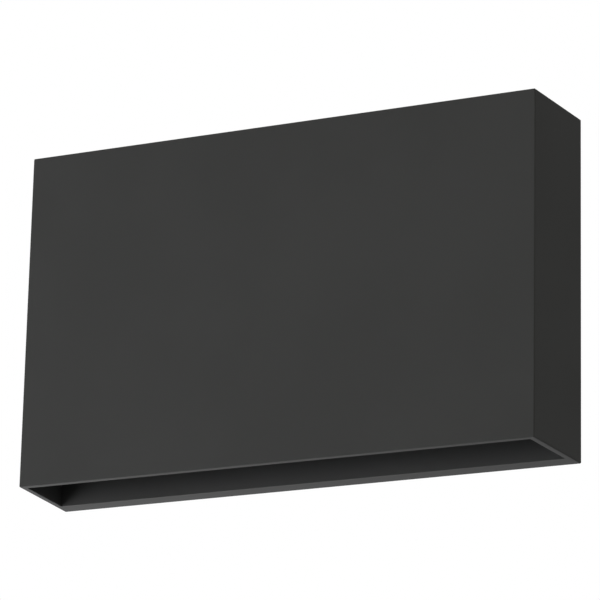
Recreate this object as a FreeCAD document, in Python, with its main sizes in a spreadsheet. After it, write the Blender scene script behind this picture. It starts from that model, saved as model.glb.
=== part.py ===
"""Wall pack light: a slim die-cast down-light that hangs on a slotted wall bracket.

All lengths are in millimetres. The origin is the centre of the wall-mounting face. +X points to the
right of someone who faces the light, +Y points into the wall and +Z points up.

From below, the casting holds: an open light cavity, a retaining frame, a glass lens on its seal, an
LED chamber, a web, and the driver bay. A cover closes the driver bay from behind. The recess in the
rear face takes the wall bracket, and two set screws in the top rim lock the casting to it.
"""
import FreeCAD
import Part
import Sketcher
import math
import os
import re

from FreeCAD import Placement, Rotation, Vector

# Sizes that can each be set by themselves.
SIZES = {
    # outer box, and how far each side of the front stands in from the rear
    "body_width": 248.0,
    "body_height": 153.0,
    "body_depth": 46.2,
    "side_draft": 2.65,
    "end_draft": 0.65,
    "edge_radius": 0.6,
    # walls of the casting
    "front_wall": 2.8,
    "side_wall": 2.9,
    "roof_wall": 3.0,
    "rear_web": 3.2,
    "floor_web": 4.0,
    "recess_depth": 6.8,
    "recess_rim": 5.0,
    # light opening, from the bottom edge upwards
    "light_recess": 22.0,
    "frame_thick": 3.0,
    "lens_thick": 4.0,
    "lens_seal_thick": 1.5,
    "chamber_height": 12.0,
    # what stands in from the cavity's walls around the lens
    "screw_pad": 11.5,
    "lens_ledge": 4.0,
    "lens_end_ledge": 5.5,
    "seal_lap": 1.5,
    "frame_lip": 4.5,
    "frame_screw_inset": 7.0,
    "lens_corner": 2.0,
    # light engine
    "pad_thick": 0.5,
    "board_thick": 1.6,
    "board_end_gap": 2.0,
    "board_side_gap": 2.6,
    "board_screw_inset": 4.0,
    "board_screw_offset": 5.0,
    "chip_size": 3.5,
    "chip_height": 0.8,
    "chip_zone_inset": 9.0,
    "reflector_wall": 1.0,
    "reflector_margin": 2.0,
    "reflector_foot": 5.0,
    "connector_size": 6.0,
    "connector_height": 2.6,
    "wire_hole_offset": 6.0,
    "wire_hole_radius": 4.0,
    "lead_flange": 2.0,
    "lead_flange_thick": 1.2,
    "supply_rise": 8.0,
    "led_rise": 12.0,
    "earth_lead_rise": 16.0,
    # driver bay
    "window_side_gap": 29.0,
    "window_floor_gap": 12.0,
    "window_roof_gap": 15.5,
    "cover_lap": 10.0,
    "cover_thick": 1.5,
    "cover_seal_thick": 1.0,
    "cover_screw_inset": 5.0,
    "boss_radius": 3.5,
    "cover_boss_height": 4.0,
    "driver_length": 130.0,
    "driver_height": 40.0,
    "driver_roof_gap": 11.5,
    "driver_rear_gap": 5.2,
    "driver_standoff": 4.0,
    "driver_tab_length": 10.0,
    "driver_tab_thick": 2.0,
    "driver_round": 2.0,
    "pole_pitch": 8.0,
    "pole_edge": 6.0,
    "terminal_end_gap": 15.0,
    "terminal_depth": 16.0,
    "terminal_height": 16.0,
    "terminal_tab_length": 7.0,
    "terminal_tab_thick": 3.0,
    "terminal_entry_depth": 6.0,
    "earth_boss_radius": 5.0,
    "earth_boss_height": 4.0,
    "earth_spacing": 34.0,
    "lug_radius": 4.5,
    "lug_thick": 0.8,
    "lug_tongue": 9.0,
    "lead_radius": 1.0,
    "lead_bend": 15.0,
    # cable entry and breather in the rear cover
    "entry_lift": 18.0,
    "grommet_bore_radius": 4.0,
    "grommet_neck_radius": 10.0,
    "grommet_flange_radius": 13.0,
    "grommet_flange_thick": 1.5,
    "grommet_nose_length": 5.0,
    "grommet_nose_radius": 7.5,
    "vent_radius": 5.0,
    "vent_flange_radius": 7.0,
    "vent_flange_thick": 1.2,
    "vent_reach": 60.0,
    "vent_lift": 38.0,
    # wall bracket
    "bracket_width": 150.0,
    "bracket_thick": 1.5,
    "bracket_bend": 1.5,
    "bracket_front_gap": 0.5,
    "hang_gap": 0.5,
    "wire_pass_radius": 18.0,
    "box_screw_spacing": 88.9,
    "box_slot_length": 20.0,
    "box_slot_width": 5.0,
    "wall_screw_spacing_x": 120.0,
    "wall_screw_spacing_z": 104.0,
    "wall_hole_radius": 2.75,
    "bridge_width": 18.0,
    "bridge_height": 10.0,
    "bridge_rise": 2.1,
    "bridge_drop": 45.0,
    # seal between the casting and the wall
    "wall_seal_width": 2.6,
    "wall_seal_depth": 1.5,
    # fasteners: small is M3, large is M4
    "small_screw_radius": 1.5,
    "small_head_radius": 2.75,
    "small_head_height": 1.6,
    "small_key_radius": 1.15,
    "large_screw_radius": 2.0,
    "large_head_radius": 3.5,
    "large_head_height": 2.0,
    "large_key_radius": 1.44,
    "key_depth": 1.1,
    "cover_screw_length": 8.0,
    "frame_screw_length": 8.0,
    "board_screw_length": 4.8,
    "driver_screw_length": 6.0,
    "terminal_screw_length": 6.0,
    "earth_screw_length": 6.0,
    "bridge_screw_length": 3.2,
    "set_screw_length": 5.0,
    "set_screw_depth": 4.2,
    "set_screw_inset": 20.0,
    "set_screw_sink": 0.4,
    # clearances
    "thread_gap": 0.05,
    "through_gap": 0.3,
    "hole_spare": 0.5,
    "drop_in_gap": 0.5,
    "snug_gap": 0.1,
}

CHIP_COUNT = 12
HEX_COUNT = 6

# Places worked out from the sizes. A later line may use an earlier one.
PLACES = {
    "body_half": "body_width / 2",
    "bottom_edge": "-body_height / 2",
    "top_edge": "body_height / 2",
    "front_half": "body_half - side_draft",
    "front_top": "top_edge - end_draft",
    # faces of the casting's spaces
    "cavity_front": "-body_depth + front_wall",
    "web_rear": "-recess_depth",
    "cavity_rear": "web_rear - rear_web",
    "cavity_half": "front_half + side_draft * front_wall / body_depth - side_wall",
    "cavity_rear_half": "body_half + side_draft * cavity_rear / body_depth - side_wall",
    "mid_depth": "(cavity_front + cavity_rear) / 2",
    "frame_face": "bottom_edge + light_recess",
    "frame_seat": "frame_face + frame_thick",
    "lens_top": "frame_seat + lens_thick",
    "lens_seat": "lens_top + lens_seal_thick",
    "chamber_top": "lens_seat + chamber_height",
    "bay_floor": "chamber_top + floor_web",
    "bay_roof": "front_top - roof_wall",
    "seat_half": "cavity_half - screw_pad",
    "chamber_half": "seat_half - lens_end_ledge",
    "chamber_front": "cavity_front + lens_ledge",
    "chamber_rear": "cavity_rear - lens_ledge",
    "recess_half": "body_half - recess_rim",
    "recess_top": "top_edge - recess_rim",
    # lens, its seal and its frame
    "lens_half": "seat_half - drop_in_gap",
    "lens_front": "cavity_front + drop_in_gap",
    "lens_rear": "cavity_rear - drop_in_gap",
    "frame_half": "cavity_half - drop_in_gap",
    "frame_screw_x": "cavity_half - screw_pad / 2",
    "frame_screw_front": "cavity_front + frame_screw_inset",
    "frame_screw_rear": "cavity_rear - frame_screw_inset",
    # light engine
    "board_top": "chamber_top - pad_thick",
    "board_face": "board_top - board_thick",
    "board_half": "chamber_half - board_end_gap",
    "board_front": "chamber_front + board_side_gap",
    "board_rear": "chamber_rear - board_side_gap",
    "board_screw_x": "board_half - board_screw_inset",
    "board_screw_y": "mid_depth - board_screw_offset",
    "chip_pitch": "2 * (board_half - chip_zone_inset) / %d" % CHIP_COUNT,
    "first_chip": "-chip_pitch * %d / 2" % (CHIP_COUNT - 1),
    "reflector_base": "-first_chip + chip_size / 2 + reflector_margin",
    "reflector_base_side": "chip_size / 2 + reflector_foot",
    "reflector_mouth": "chamber_half - snug_gap - reflector_wall",
    "reflector_mouth_side": "(chamber_rear - chamber_front) / 2 - snug_gap - reflector_wall",
    "reflector_height": "board_face - lens_seat",
    "wire_hole_y": "mid_depth + wire_hole_offset",
    "lead_step": "2 * lead_radius + through_gap",
    "lead_bore": "2 * lead_radius + through_gap",
    # driver bay
    "window_half": "cavity_half - window_side_gap",
    "window_low": "bay_floor + window_floor_gap",
    "window_high": "bay_roof - window_roof_gap",
    "cover_half": "window_half + cover_lap",
    "cover_low": "window_low - cover_lap",
    "cover_high": "window_high + cover_lap",
    "cover_front": "web_rear + cover_seal_thick",
    "cover_rear": "cover_front + cover_thick",
    "cover_screw_x": "cover_half - cover_screw_inset",
    "cover_screw_low": "cover_low + cover_screw_inset",
    "cover_screw_high": "cover_high - cover_screw_inset",
    "driver_front": "cavity_front + driver_standoff",
    "driver_rear": "cavity_rear - driver_rear_gap",
    "driver_half": "driver_length / 2",
    "driver_high": "bay_roof - driver_roof_gap",
    "driver_low": "driver_high - driver_height",
    "driver_mid": "(driver_low + driver_high) / 2",
    "driver_tab_x": "driver_half + driver_tab_length / 2",
    "terminal_left": "-cavity_half + terminal_end_gap",
    "terminal_top": "bay_floor + terminal_height",
    "first_pole": "terminal_left + pole_edge",
    "second_pole": "first_pole + pole_pitch",
    "third_pole": "second_pole + pole_pitch",
    "terminal_right": "third_pole + pole_edge",
    "terminal_tab_left": "terminal_left - terminal_tab_length / 2",
    "terminal_tab_right": "terminal_right + terminal_tab_length / 2",
    "earth_x": "third_pole + earth_spacing",
    "earth_seat": "bay_floor + earth_boss_height",
    "lug_top": "earth_seat + lug_thick",
    "earth_lead_top": "terminal_top + earth_lead_rise",
    # cable entry and breather
    "entry_height": "window_low + entry_lift",
    "vent_height": "window_low + vent_lift",
    # wall bracket
    "bracket_half": "bracket_width / 2",
    "bracket_top": "recess_top - hang_gap",
    "bracket_front": "-recess_depth + bracket_front_gap",
    "bridge_rear": "-bridge_rise",
    "bridge_front": "bridge_rear - bracket_thick",
    "set_screw_x": "bracket_half - set_screw_inset",
    "set_screw_top": "top_edge - set_screw_sink",
    # wall seal
    "seal_inset": "(recess_rim - wall_seal_width) / 2",
}

WORD = re.compile(r"[a-z][a-z_]+")

# How sketches number the origin, and the start, end and centre of a piece of geometry.
ORIGIN_INDEX = -1
START_INDEX = 1
END_INDEX = 2
CENTRE_INDEX = 3

# Sketch planes, by the way that their normal points.
FRONTWARDS = "XZ_Plane"
UPWARDS = "XY_Plane"

# An edge runs along an axis when more than this share of its length does.
STRAIGHT_SHARE = 0.999
# Two places closer than this count as the same place.
TOUCHING = 0.01
# A lead's bend uses at most this share of the straight run on each side of it.
BEND_SHARE = 0.45

doc = FreeCAD.newDocument("WallPackLight")


def fill_sheet(name, rows):
    """Make a sheet with one named cell per row."""
    sheet = doc.addObject("Spreadsheet::Sheet", name)
    for number, (alias, content) in enumerate(rows.items(), start=1):
        sheet.set("A%d" % number, alias)
        sheet.set("B%d" % number, content)
        sheet.setAlias("B%d" % number, alias)
    return sheet


def with_sheet_names(text, own_sheet=None):
    """Put the sheet's name before each size or place in a formula, as a formula outside it needs."""
    def full_name(match):
        word = match.group(0)
        if word in SIZES:
            return "Sizes." + word
        if word in PLACES and own_sheet != "Places":
            return "Places." + word
        return word
    return WORD.sub(full_name, text)


fill_sheet("Sizes", {name: str(value) for name, value in SIZES.items()})
places = fill_sheet("Places", {name: "=" + with_sheet_names(text, "Places") for name, text in PLACES.items()})
doc.recompute()


def value(text):
    """Work out a formula now, for the few shapes that need numbers."""
    return float(places.evalExpression(with_sheet_names(text)))


def bind(thing, **formulas):
    """Tie properties to formulas. The names x, y and z stand for the placement."""
    for name, text in formulas.items():
        path = "Placement.Base." + name if name in ("x", "y", "z") else name
        thing.setExpression(path, with_sheet_names(str(text)))


def new_body(label):
    """Start a sub-part."""
    body = doc.addObject("PartDesign::Body", "Body_" + label)
    body.Label = label
    return body


def origin_plane(body, role):
    """Find one of a body's own origin planes."""
    return next(item for item in body.Origin.OriginFeatures if item.Role == role)


def new_sketch(body, name, role, start):
    """Start a sketch on a plane across one axis. A formula gives the plane's place on that axis."""
    sketch = body.newObject("Sketcher::SketchObject", name)
    sketch.AttachmentSupport = [(origin_plane(body, role), "")]
    sketch.MapMode = "FlatFace"
    offset = "-(%s)" % start if role == FRONTWARDS else start
    sketch.setExpression("AttachmentOffset.Base.z", with_sheet_names(offset))
    return sketch


def constrain(sketch, kind, items, text):
    """Add a dimension that follows a formula."""
    index = sketch.addConstraint(Sketcher.Constraint(kind, *items, value(text)))
    sketch.setExpression("Constraints[%d]" % index, with_sheet_names(text))


def draw_outline(sketch, corners):
    """Draw a closed outline of straight lines, with each corner tied to two formulas."""
    points = [Vector(value(across), value(up), 0) for across, up in corners]
    lines = [sketch.addGeometry(Part.LineSegment(point, following), False)
             for point, following in zip(points, points[1:] + points[:1])]
    for line, following in zip(lines, lines[1:] + lines[:1]):
        sketch.addConstraint(Sketcher.Constraint("Coincident", line, END_INDEX, following, START_INDEX))
    for line, (across, up) in zip(lines, corners):
        constrain(sketch, "DistanceX", (ORIGIN_INDEX, START_INDEX, line, START_INDEX), across)
        constrain(sketch, "DistanceY", (ORIGIN_INDEX, START_INDEX, line, START_INDEX), up)


def draw_circles(sketch, spots, radius):
    """Draw equal circles, with each centre tied to two formulas."""
    for across, up in spots:
        shape = Part.Circle(Vector(value(across), value(up), 0), Vector(0, 0, 1), value(radius))
        circle = sketch.addGeometry(shape, False)
        constrain(sketch, "DistanceX", (ORIGIN_INDEX, START_INDEX, circle, CENTRE_INDEX), across)
        constrain(sketch, "DistanceY", (ORIGIN_INDEX, START_INDEX, circle, CENTRE_INDEX), up)
        constrain(sketch, "Radius", (circle,), radius)


def carry(body, sketch, length, cut=False):
    """Carry a sketch straight along its plane's normal, to add or to cut."""
    feature = body.newObject("PartDesign::Pocket" if cut else "PartDesign::Pad", sketch.Name + "_run")
    feature.Profile = sketch
    feature.Reversed = cut
    bind(feature, Length=length)
    return feature


def bosses(body, name, role, start, spots, radius, length):
    """Add equal round bosses that run from one plane along its normal."""
    sketch = new_sketch(body, name, role, start)
    draw_circles(sketch, spots, radius)
    return carry(body, sketch, length)


def holes(body, name, role, start, spots, radius, length):
    """Cut equal round holes that run from one plane along its normal."""
    sketch = new_sketch(body, name, role, start)
    draw_circles(sketch, spots, radius)
    return carry(body, sketch, length, cut=True)


def block(body, name, x, y, z, cut=False):
    """Add or cut a box between pairs of formulas."""
    feature = body.newObject("PartDesign::SubtractiveBox" if cut else "PartDesign::AdditiveBox", name)
    bind(feature, x=x[0], y=y[0], z=z[0])
    bind(feature, Length="(%s) - (%s)" % (x[1], x[0]))
    bind(feature, Width="(%s) - (%s)" % (y[1], y[0]))
    bind(feature, Height="(%s) - (%s)" % (z[1], z[0]))
    return feature


def tapered_block(body, name, along, first, last, cut=False):
    """Add or cut a block that runs along its own Y, from a first pair of X and Z ranges to a last pair."""
    feature = body.newObject("PartDesign::SubtractiveWedge" if cut else "PartDesign::AdditiveWedge", name)
    bind(feature, Ymin=along[0], Xmin=first[0][0], Xmax=first[0][1], Zmin=first[1][0], Zmax=first[1][1])
    bind(feature, Ymax=along[1], X2min=last[0][0], X2max=last[0][1], Z2min=last[1][0], Z2max=last[1][1])
    return feature


def round_edges(body, feature, radius, chosen):
    """Round the edges of a feature that a test picks."""
    doc.recompute()
    names = ["Edge%d" % number for number, edge in enumerate(feature.Shape.Edges, start=1) if chosen(edge)]
    rounding = body.newObject("PartDesign::Fillet", feature.Name + "_round")
    rounding.Base = (feature, names)
    bind(rounding, Radius=radius)
    return rounding


def runs_along(axis):
    """Give a test for straight edges that run along one axis."""
    def test(edge):
        along = edge.Vertexes[-1].Point - edge.Vertexes[0].Point
        return along.Length > 0 and abs(along.normalize().dot(axis)) > STRAIGHT_SHARE
    return test


ALONG_X = runs_along(Vector(1, 0, 0))
ALONG_Y = runs_along(Vector(0, 1, 0))
ALONG_Z = runs_along(Vector(0, 0, 1))


def both_ways(half):
    """Give the range from minus a half size to plus it."""
    return ("-(%s)" % half, half)


def around(centre, half):
    """Give the range of a half size each way from a centre."""
    return ("%s - (%s)" % (centre, half), "%s + (%s)" % (centre, half))


def rectangle(across, up):
    """Give the corners of a rectangle between pairs of formulas."""
    return [(across[0], up[0]), (across[1], up[0]), (across[1], up[1]), (across[0], up[1])]


# --- fasteners ---------------------------------------------------------------------------------------

# Turns that point a solid's own +Z some other way.
POINT_UP = Rotation()
POINT_DOWN = Rotation(Vector(1, 0, 0), 180)
POINT_TO_WALL = Rotation(Vector(1, 0, 0), -90)
POINT_TO_FRONT = Rotation(Vector(1, 0, 0), 90)


def screw(name, kind, length):
    """Make a hex-socket cap screw along Z. Its head stands on z = 0 and its shank points down."""
    head = doc.addObject("Part::Cylinder", name + "_head")
    bind(head, Radius=kind + "_head_radius", Height=kind + "_head_height")
    shank = doc.addObject("Part::Cylinder", name + "_shank")
    bind(shank, Radius=kind + "_screw_radius", Height=length, z="-(%s)" % length)
    blank = doc.addObject("Part::Fuse", name + "_blank")
    blank.Base = head
    blank.Tool = shank
    key = doc.addObject("Part::Prism", name + "_key")
    key.Polygon = HEX_COUNT
    bind(key, Circumradius=kind + "_key_radius", Height="key_depth", z=kind + "_head_height - key_depth")
    result = doc.addObject("Part::Cut", name)
    result.Base = blank
    result.Tool = key
    return result


def group(label, pattern, spots, turn=POINT_UP):
    """Set copies of one solid at several spots, as one sub-part of separate solids."""
    copies = []
    for number, (x, y, z) in enumerate(spots, start=1):
        copy = doc.addObject("App::Link", "%s_%d" % (label, number))
        copy.LinkedObject = pattern
        copy.Placement = Placement(Vector(), turn)
        bind(copy, x=x, y=y, z=z)
        copies.append(copy)
    result = doc.addObject("Part::Compound", "Group_" + label)
    result.Links = copies
    result.Label = label
    return result


def at_depth(spots, y):
    """Set X and Z pairs at one depth."""
    return [(x, y, z) for x, z in spots]


def at_height(spots, z):
    """Set X and Y pairs at one height."""
    return [(x, y, z) for x, y in spots]


def cover_screw_spots():
    """Give X and Z of the ten screws around the rear cover."""
    columns = ["-cover_screw_x", "-cover_screw_x / 3", "cover_screw_x / 3", "cover_screw_x"]
    spots = [(x, z) for z in ("cover_screw_low", "cover_screw_high") for x in columns]
    middle = "(cover_screw_low + cover_screw_high) / 2"
    return spots + [("-cover_screw_x", middle), ("cover_screw_x", middle)]


FRAME_SCREW_SPOTS = [(x, y) for x in ("-frame_screw_x", "frame_screw_x")
                     for y in ("frame_screw_front", "frame_screw_rear")]
BOARD_SCREW_SPOTS = [("-board_screw_x", "board_screw_y"), ("0", "mid_depth"),
                     ("board_screw_x", "board_screw_y")]
DRIVER_SCREW_SPOTS = [("-driver_tab_x", "driver_mid"), ("driver_tab_x", "driver_mid")]
TERMINAL_SCREW_SPOTS = [("terminal_tab_left", "mid_depth"), ("terminal_tab_right", "mid_depth")]
SET_SCREW_SPOTS = [("-set_screw_x", "-set_screw_depth"), ("set_screw_x", "-set_screw_depth")]
LEAD_HOLE_SPOT = ("board_screw_x", "wire_hole_y")
EARTH_SPOT = ("earth_x", "mid_depth")
ENTRY_SPOT = ("0", "entry_height")
VENT_SPOT = ("vent_reach", "vent_height")

SMALL_TAP = "small_screw_radius + thread_gap"
LARGE_TAP = "large_screw_radius + thread_gap"
SMALL_THROUGH = "small_screw_radius + through_gap"
LARGE_THROUGH = "large_screw_radius + through_gap"


# --- the casting -------------------------------------------------------------------------------------

def make_housing():
    """Cast body: an open light cavity below, the driver bay above and a recess for the bracket behind."""
    body = new_body("housing")
    front = (both_ways("front_half"), both_ways("front_top"))
    rear = (both_ways("body_half"), both_ways("top_edge"))
    slab = tapered_block(body, "drafted_slab", ("-body_depth", "0"), front, rear)
    round_edges(body, slab, "edge_radius", lambda edge: True)

    width = both_ways("cavity_half")
    rear_width = both_ways("cavity_rear_half")
    depth = ("cavity_front", "cavity_rear")
    height = ("bottom_edge", "frame_seat")
    tapered_block(body, "light_cavity", depth, (width, height), (rear_width, height), cut=True)
    block(body, "lens_pocket", both_ways("seat_half"), depth, ("frame_seat", "lens_seat"), cut=True)
    block(body, "led_chamber", both_ways("chamber_half"), ("chamber_front", "chamber_rear"),
          ("lens_seat", "chamber_top"), cut=True)
    block(body, "driver_bay", width, depth, ("bay_floor", "bay_roof"), cut=True)
    block(body, "rear_recess", both_ways("recess_half"), ("-recess_depth", "0"), both_ways("recess_top"),
          cut=True)
    block(body, "service_window", both_ways("window_half"), ("cavity_rear", "web_rear"),
          ("window_low", "window_high"), cut=True)
    carry(body, draw_seal_groove(body), "wall_seal_depth", cut=True)
    add_housing_bosses(body)
    cut_housing_taps(body)
    holes(body, "lead_hole", UPWARDS, "chamber_top", [LEAD_HOLE_SPOT], "wire_hole_radius", "floor_web")
    return body


def draw_seal_groove(body):
    """Draw the groove in the rim's rear face: a ring of two rectangles."""
    sketch = new_sketch(body, "seal_groove", FRONTWARDS, "0")
    for inset in ("seal_inset", "seal_inset + wall_seal_width"):
        across = both_ways("body_half - (%s)" % inset)
        up = both_ways("top_edge - (%s)" % inset)
        draw_outline(sketch, rectangle(across, up))
    return sketch


def add_housing_bosses(body):
    """Bosses for the cover screws, the driver and the earth screw."""
    bosses(body, "cover_bosses", FRONTWARDS, "cavity_rear", cover_screw_spots(), "boss_radius",
           "cover_boss_height")
    bosses(body, "driver_bosses", FRONTWARDS, "driver_front", DRIVER_SCREW_SPOTS, "boss_radius",
           "driver_standoff")
    bosses(body, "earth_boss", UPWARDS, "bay_floor", [EARTH_SPOT], "earth_boss_radius", "earth_boss_height")


def cut_housing_taps(body):
    """Tapped holes for every screw that the casting takes."""
    cover_grip = "cover_screw_length - cover_thick - cover_seal_thick + hole_spare"
    holes(body, "cover_taps", FRONTWARDS, "web_rear", cover_screw_spots(), SMALL_TAP, cover_grip)
    driver_grip = "driver_screw_length - driver_tab_thick + hole_spare"
    holes(body, "driver_taps", FRONTWARDS, "driver_front", DRIVER_SCREW_SPOTS, SMALL_TAP, driver_grip)
    frame_grip = "frame_screw_length - frame_thick + hole_spare"
    holes(body, "frame_taps", UPWARDS, "frame_seat", FRAME_SCREW_SPOTS, LARGE_TAP, frame_grip)
    board_grip = "board_screw_length - board_thick - pad_thick + hole_spare"
    holes(body, "board_taps", UPWARDS, "chamber_top", BOARD_SCREW_SPOTS, SMALL_TAP, board_grip)
    terminal_grip = "terminal_screw_length - terminal_tab_thick + hole_spare"
    holes(body, "terminal_taps", UPWARDS, "bay_floor - (%s)" % terminal_grip, TERMINAL_SCREW_SPOTS, SMALL_TAP,
          terminal_grip)
    earth_grip = "earth_screw_length - lug_thick + hole_spare"
    holes(body, "earth_tap", UPWARDS, "earth_seat - (%s)" % earth_grip, [EARTH_SPOT], LARGE_TAP, earth_grip)
    holes(body, "set_screw_taps", UPWARDS, "recess_top", SET_SCREW_SPOTS, LARGE_TAP, "recess_rim")


def make_wall_seal():
    """Foam seal that fills the groove in the rim and lies against the wall."""
    body = new_body("wall_seal")
    carry(body, draw_seal_groove(body), "wall_seal_depth")
    return body


# --- lens and its frame ------------------------------------------------------------------------------

def lying_ring(body, outer, inner, z):
    """Make a flat ring with rounded outer corners from the outer and inner pairs of X and Y ranges."""
    plate = block(body, body.Label + "_plate", outer[0], outer[1], z)
    round_edges(body, plate, "lens_corner", ALONG_Z)
    block(body, body.Label + "_opening", inner[0], inner[1], z, cut=True)


def make_lens():
    """Frosted glass plate under the LED chamber."""
    body = new_body("lens")
    plate = block(body, "lens_plate", both_ways("lens_half"), ("lens_front", "lens_rear"),
                  ("frame_seat", "lens_top"))
    round_edges(body, plate, "lens_corner", ALONG_Z)
    return body


def make_lens_seal():
    """Silicone ring between the lens and the ledge. Its inner edge also holds the reflector's mouth."""
    body = new_body("lens_seal")
    outer = (both_ways("lens_half"), ("lens_front", "lens_rear"))
    inner = (both_ways("chamber_half - seal_lap"), ("chamber_front + seal_lap", "chamber_rear - seal_lap"))
    lying_ring(body, outer, inner, ("lens_top", "lens_seat"))
    return body


def make_lens_frame():
    """Retaining frame that clamps the lens from below."""
    body = new_body("lens_frame")
    outer = (both_ways("frame_half"), ("cavity_front + drop_in_gap", "cavity_rear - drop_in_gap"))
    inner = (both_ways("lens_half - frame_lip"), ("lens_front + frame_lip", "lens_rear - frame_lip"))
    lying_ring(body, outer, inner, ("frame_face", "frame_seat"))
    holes(body, "frame_holes", UPWARDS, "frame_face", FRAME_SCREW_SPOTS, LARGE_THROUGH, "frame_thick")
    return body


# --- light engine ------------------------------------------------------------------------------------

def make_board_layer(label, low, thick):
    """Make a layer with the LED board's outline, its screw holes and its lead hole."""
    body = new_body(label)
    block(body, label + "_strip", both_ways("board_half"), ("board_front", "board_rear"),
          (low, "%s + %s" % (low, thick)))
    holes(body, label + "_screw_holes", UPWARDS, low, BOARD_SCREW_SPOTS, SMALL_THROUGH, thick)
    holes(body, label + "_lead_hole", UPWARDS, low, [LEAD_HOLE_SPOT], "lead_bore", thick)
    return body


def make_led_chips():
    """Row of LED packages along the middle of the board."""
    chip = doc.addObject("Part::Box", "led_chip")
    bind(chip, Length="chip_size", Width="chip_size", Height="chip_height")
    spots = [("first_chip - chip_size / 2 + %d * chip_pitch" % number, "mid_depth - chip_size / 2",
              "board_face - chip_height") for number in range(CHIP_COUNT)]
    return group("led_chips", chip, spots)


def funnel(body, name, margin, cut=False):
    """Add or cut a four-sided funnel that widens downwards from the board to the lens seal."""
    base = [both_ways("%s + %s" % (size, margin)) for size in ("reflector_base", "reflector_base_side")]
    mouth = [both_ways("%s + %s" % (size, margin)) for size in ("reflector_mouth", "reflector_mouth_side")]
    feature = tapered_block(body, name, ("0", "reflector_height"), base, mouth, cut)
    feature.Placement = Placement(Vector(), POINT_TO_WALL)
    bind(feature, y="mid_depth", z="board_face")


def make_reflector():
    """Funnel between the LED board and the lens."""
    body = new_body("reflector")
    funnel(body, "funnel_outside", "reflector_wall")
    funnel(body, "funnel_inside", "0", cut=True)
    return body


def make_led_connector():
    """Small block under the lead hole, where the leads meet the board."""
    body = new_body("led_connector")
    block(body, "connector_block", around("board_screw_x", "connector_size / 2"),
          around("wire_hole_y", "connector_size / 2"), ("board_face - connector_height", "board_face"))
    return body


def make_lead_grommet():
    """Rubber bush where the LED leads go down through the web."""
    body = new_body("lead_grommet")
    bosses(body, "bush_neck", UPWARDS, "chamber_top", [LEAD_HOLE_SPOT], "wire_hole_radius - snug_gap",
           "floor_web")
    bosses(body, "bush_flange", UPWARDS, "bay_floor", [LEAD_HOLE_SPOT], "wire_hole_radius + lead_flange",
           "lead_flange_thick")
    holes(body, "bush_bore", UPWARDS, "chamber_top", [LEAD_HOLE_SPOT], "lead_bore",
          "floor_web + lead_flange_thick")
    return body


# --- driver bay --------------------------------------------------------------------------------------

def make_driver():
    """Potted driver with a tab at each end, on two bosses behind the front wall."""
    body = new_body("driver")
    case = block(body, "driver_case", both_ways("driver_half"), ("driver_front", "driver_rear"),
                 ("driver_low", "driver_high"))
    round_edges(body, case, "driver_round", ALONG_Y)
    block(body, "driver_tabs", both_ways("driver_half + driver_tab_length"),
          ("driver_front", "driver_front + driver_tab_thick"), around("driver_mid", "driver_height / 4"))
    holes(body, "driver_tab_holes", FRONTWARDS, "driver_front + driver_tab_thick", DRIVER_SCREW_SPOTS,
          SMALL_THROUGH, "driver_tab_thick")
    return body


def make_terminal_block():
    """Three-pole block on the web. In its top, each pole has a wire entry and a clamp-screw entry."""
    body = new_body("terminal_block")
    depth = around("mid_depth", "terminal_depth / 2")
    block(body, "terminal_case", ("terminal_left", "terminal_right"), depth, ("bay_floor", "terminal_top"))
    tabs = ("terminal_left - terminal_tab_length", "terminal_right + terminal_tab_length")
    block(body, "terminal_tabs", tabs, depth, ("bay_floor", "bay_floor + terminal_tab_thick"))
    poles = ["first_pole", "second_pole", "third_pole"]
    entry_floor = "terminal_top - terminal_entry_depth"
    wire_spots = [(pole, "mid_depth") for pole in poles]
    clamp_spots = [(pole, "mid_depth - terminal_depth / 3") for pole in poles]
    holes(body, "wire_entries", UPWARDS, entry_floor, wire_spots, "lead_radius + through_gap",
          "terminal_entry_depth")
    holes(body, "clamp_entries", UPWARDS, entry_floor, clamp_spots, "small_screw_radius",
          "terminal_entry_depth")
    holes(body, "terminal_tab_holes", UPWARDS, "bay_floor", TERMINAL_SCREW_SPOTS, SMALL_THROUGH,
          "terminal_tab_thick")
    return body


def make_earth_lug():
    """Ring lug under the earth screw, with a tongue that takes the earth lead."""
    body = new_body("earth_lug")
    bosses(body, "lug_ring", UPWARDS, "earth_seat", [EARTH_SPOT], "lug_radius", "lug_thick")
    block(body, "lug_tongue", ("earth_x - lug_tongue", "earth_x"),
          around("mid_depth", "lead_radius + through_gap"), ("earth_seat", "lug_top"))
    holes(body, "lug_hole", UPWARDS, "earth_seat", [EARTH_SPOT], LARGE_THROUGH, "lug_thick")
    return body


def rounded_path(points, bend):
    """Join straight runs by arcs, each with the wanted bend or as much of it as the runs leave room for."""
    edges = []
    start = points[0]
    for before, corner, after in zip(points, points[1:], points[2:]):
        arriving = (corner - before).normalize()
        leaving = (after - corner).normalize()
        half_turn = arriving.getAngle(leaving) / 2
        room = BEND_SHARE * min((corner - before).Length, (after - corner).Length)
        reach = min(bend * math.tan(half_turn), room)
        enter = corner - arriving * reach
        leave = corner + leaving * reach
        radius = reach / math.tan(half_turn)
        inward = (leaving - arriving).normalize()
        middle = corner + inward * (radius / math.cos(half_turn) - radius)
        edges.append(Part.LineSegment(start, enter).toShape())
        edges.append(Part.Arc(enter, middle, leave).toShape())
        start = leave
    edges.append(Part.LineSegment(start, points[-1]).toShape())
    return Part.Wire(edges)


def make_leads(label, routes):
    """Make insulated leads along routes of formula points, as one sub-part."""
    radius = value("lead_radius")
    solids = []
    for route in routes:
        points = [Vector(*(value(text) for text in point)) for point in route]
        section = Part.Wire([Part.makeCircle(radius, points[0], points[1] - points[0])])
        solids.append(rounded_path(points, value("lead_bend")).makePipeShell([section], True, True))
    leads = doc.addObject("Part::Feature", "Leads_" + label)
    leads.Label = label
    leads.Shape = solids[0] if len(solids) == 1 else Part.makeCompound(solids)
    return leads


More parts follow.
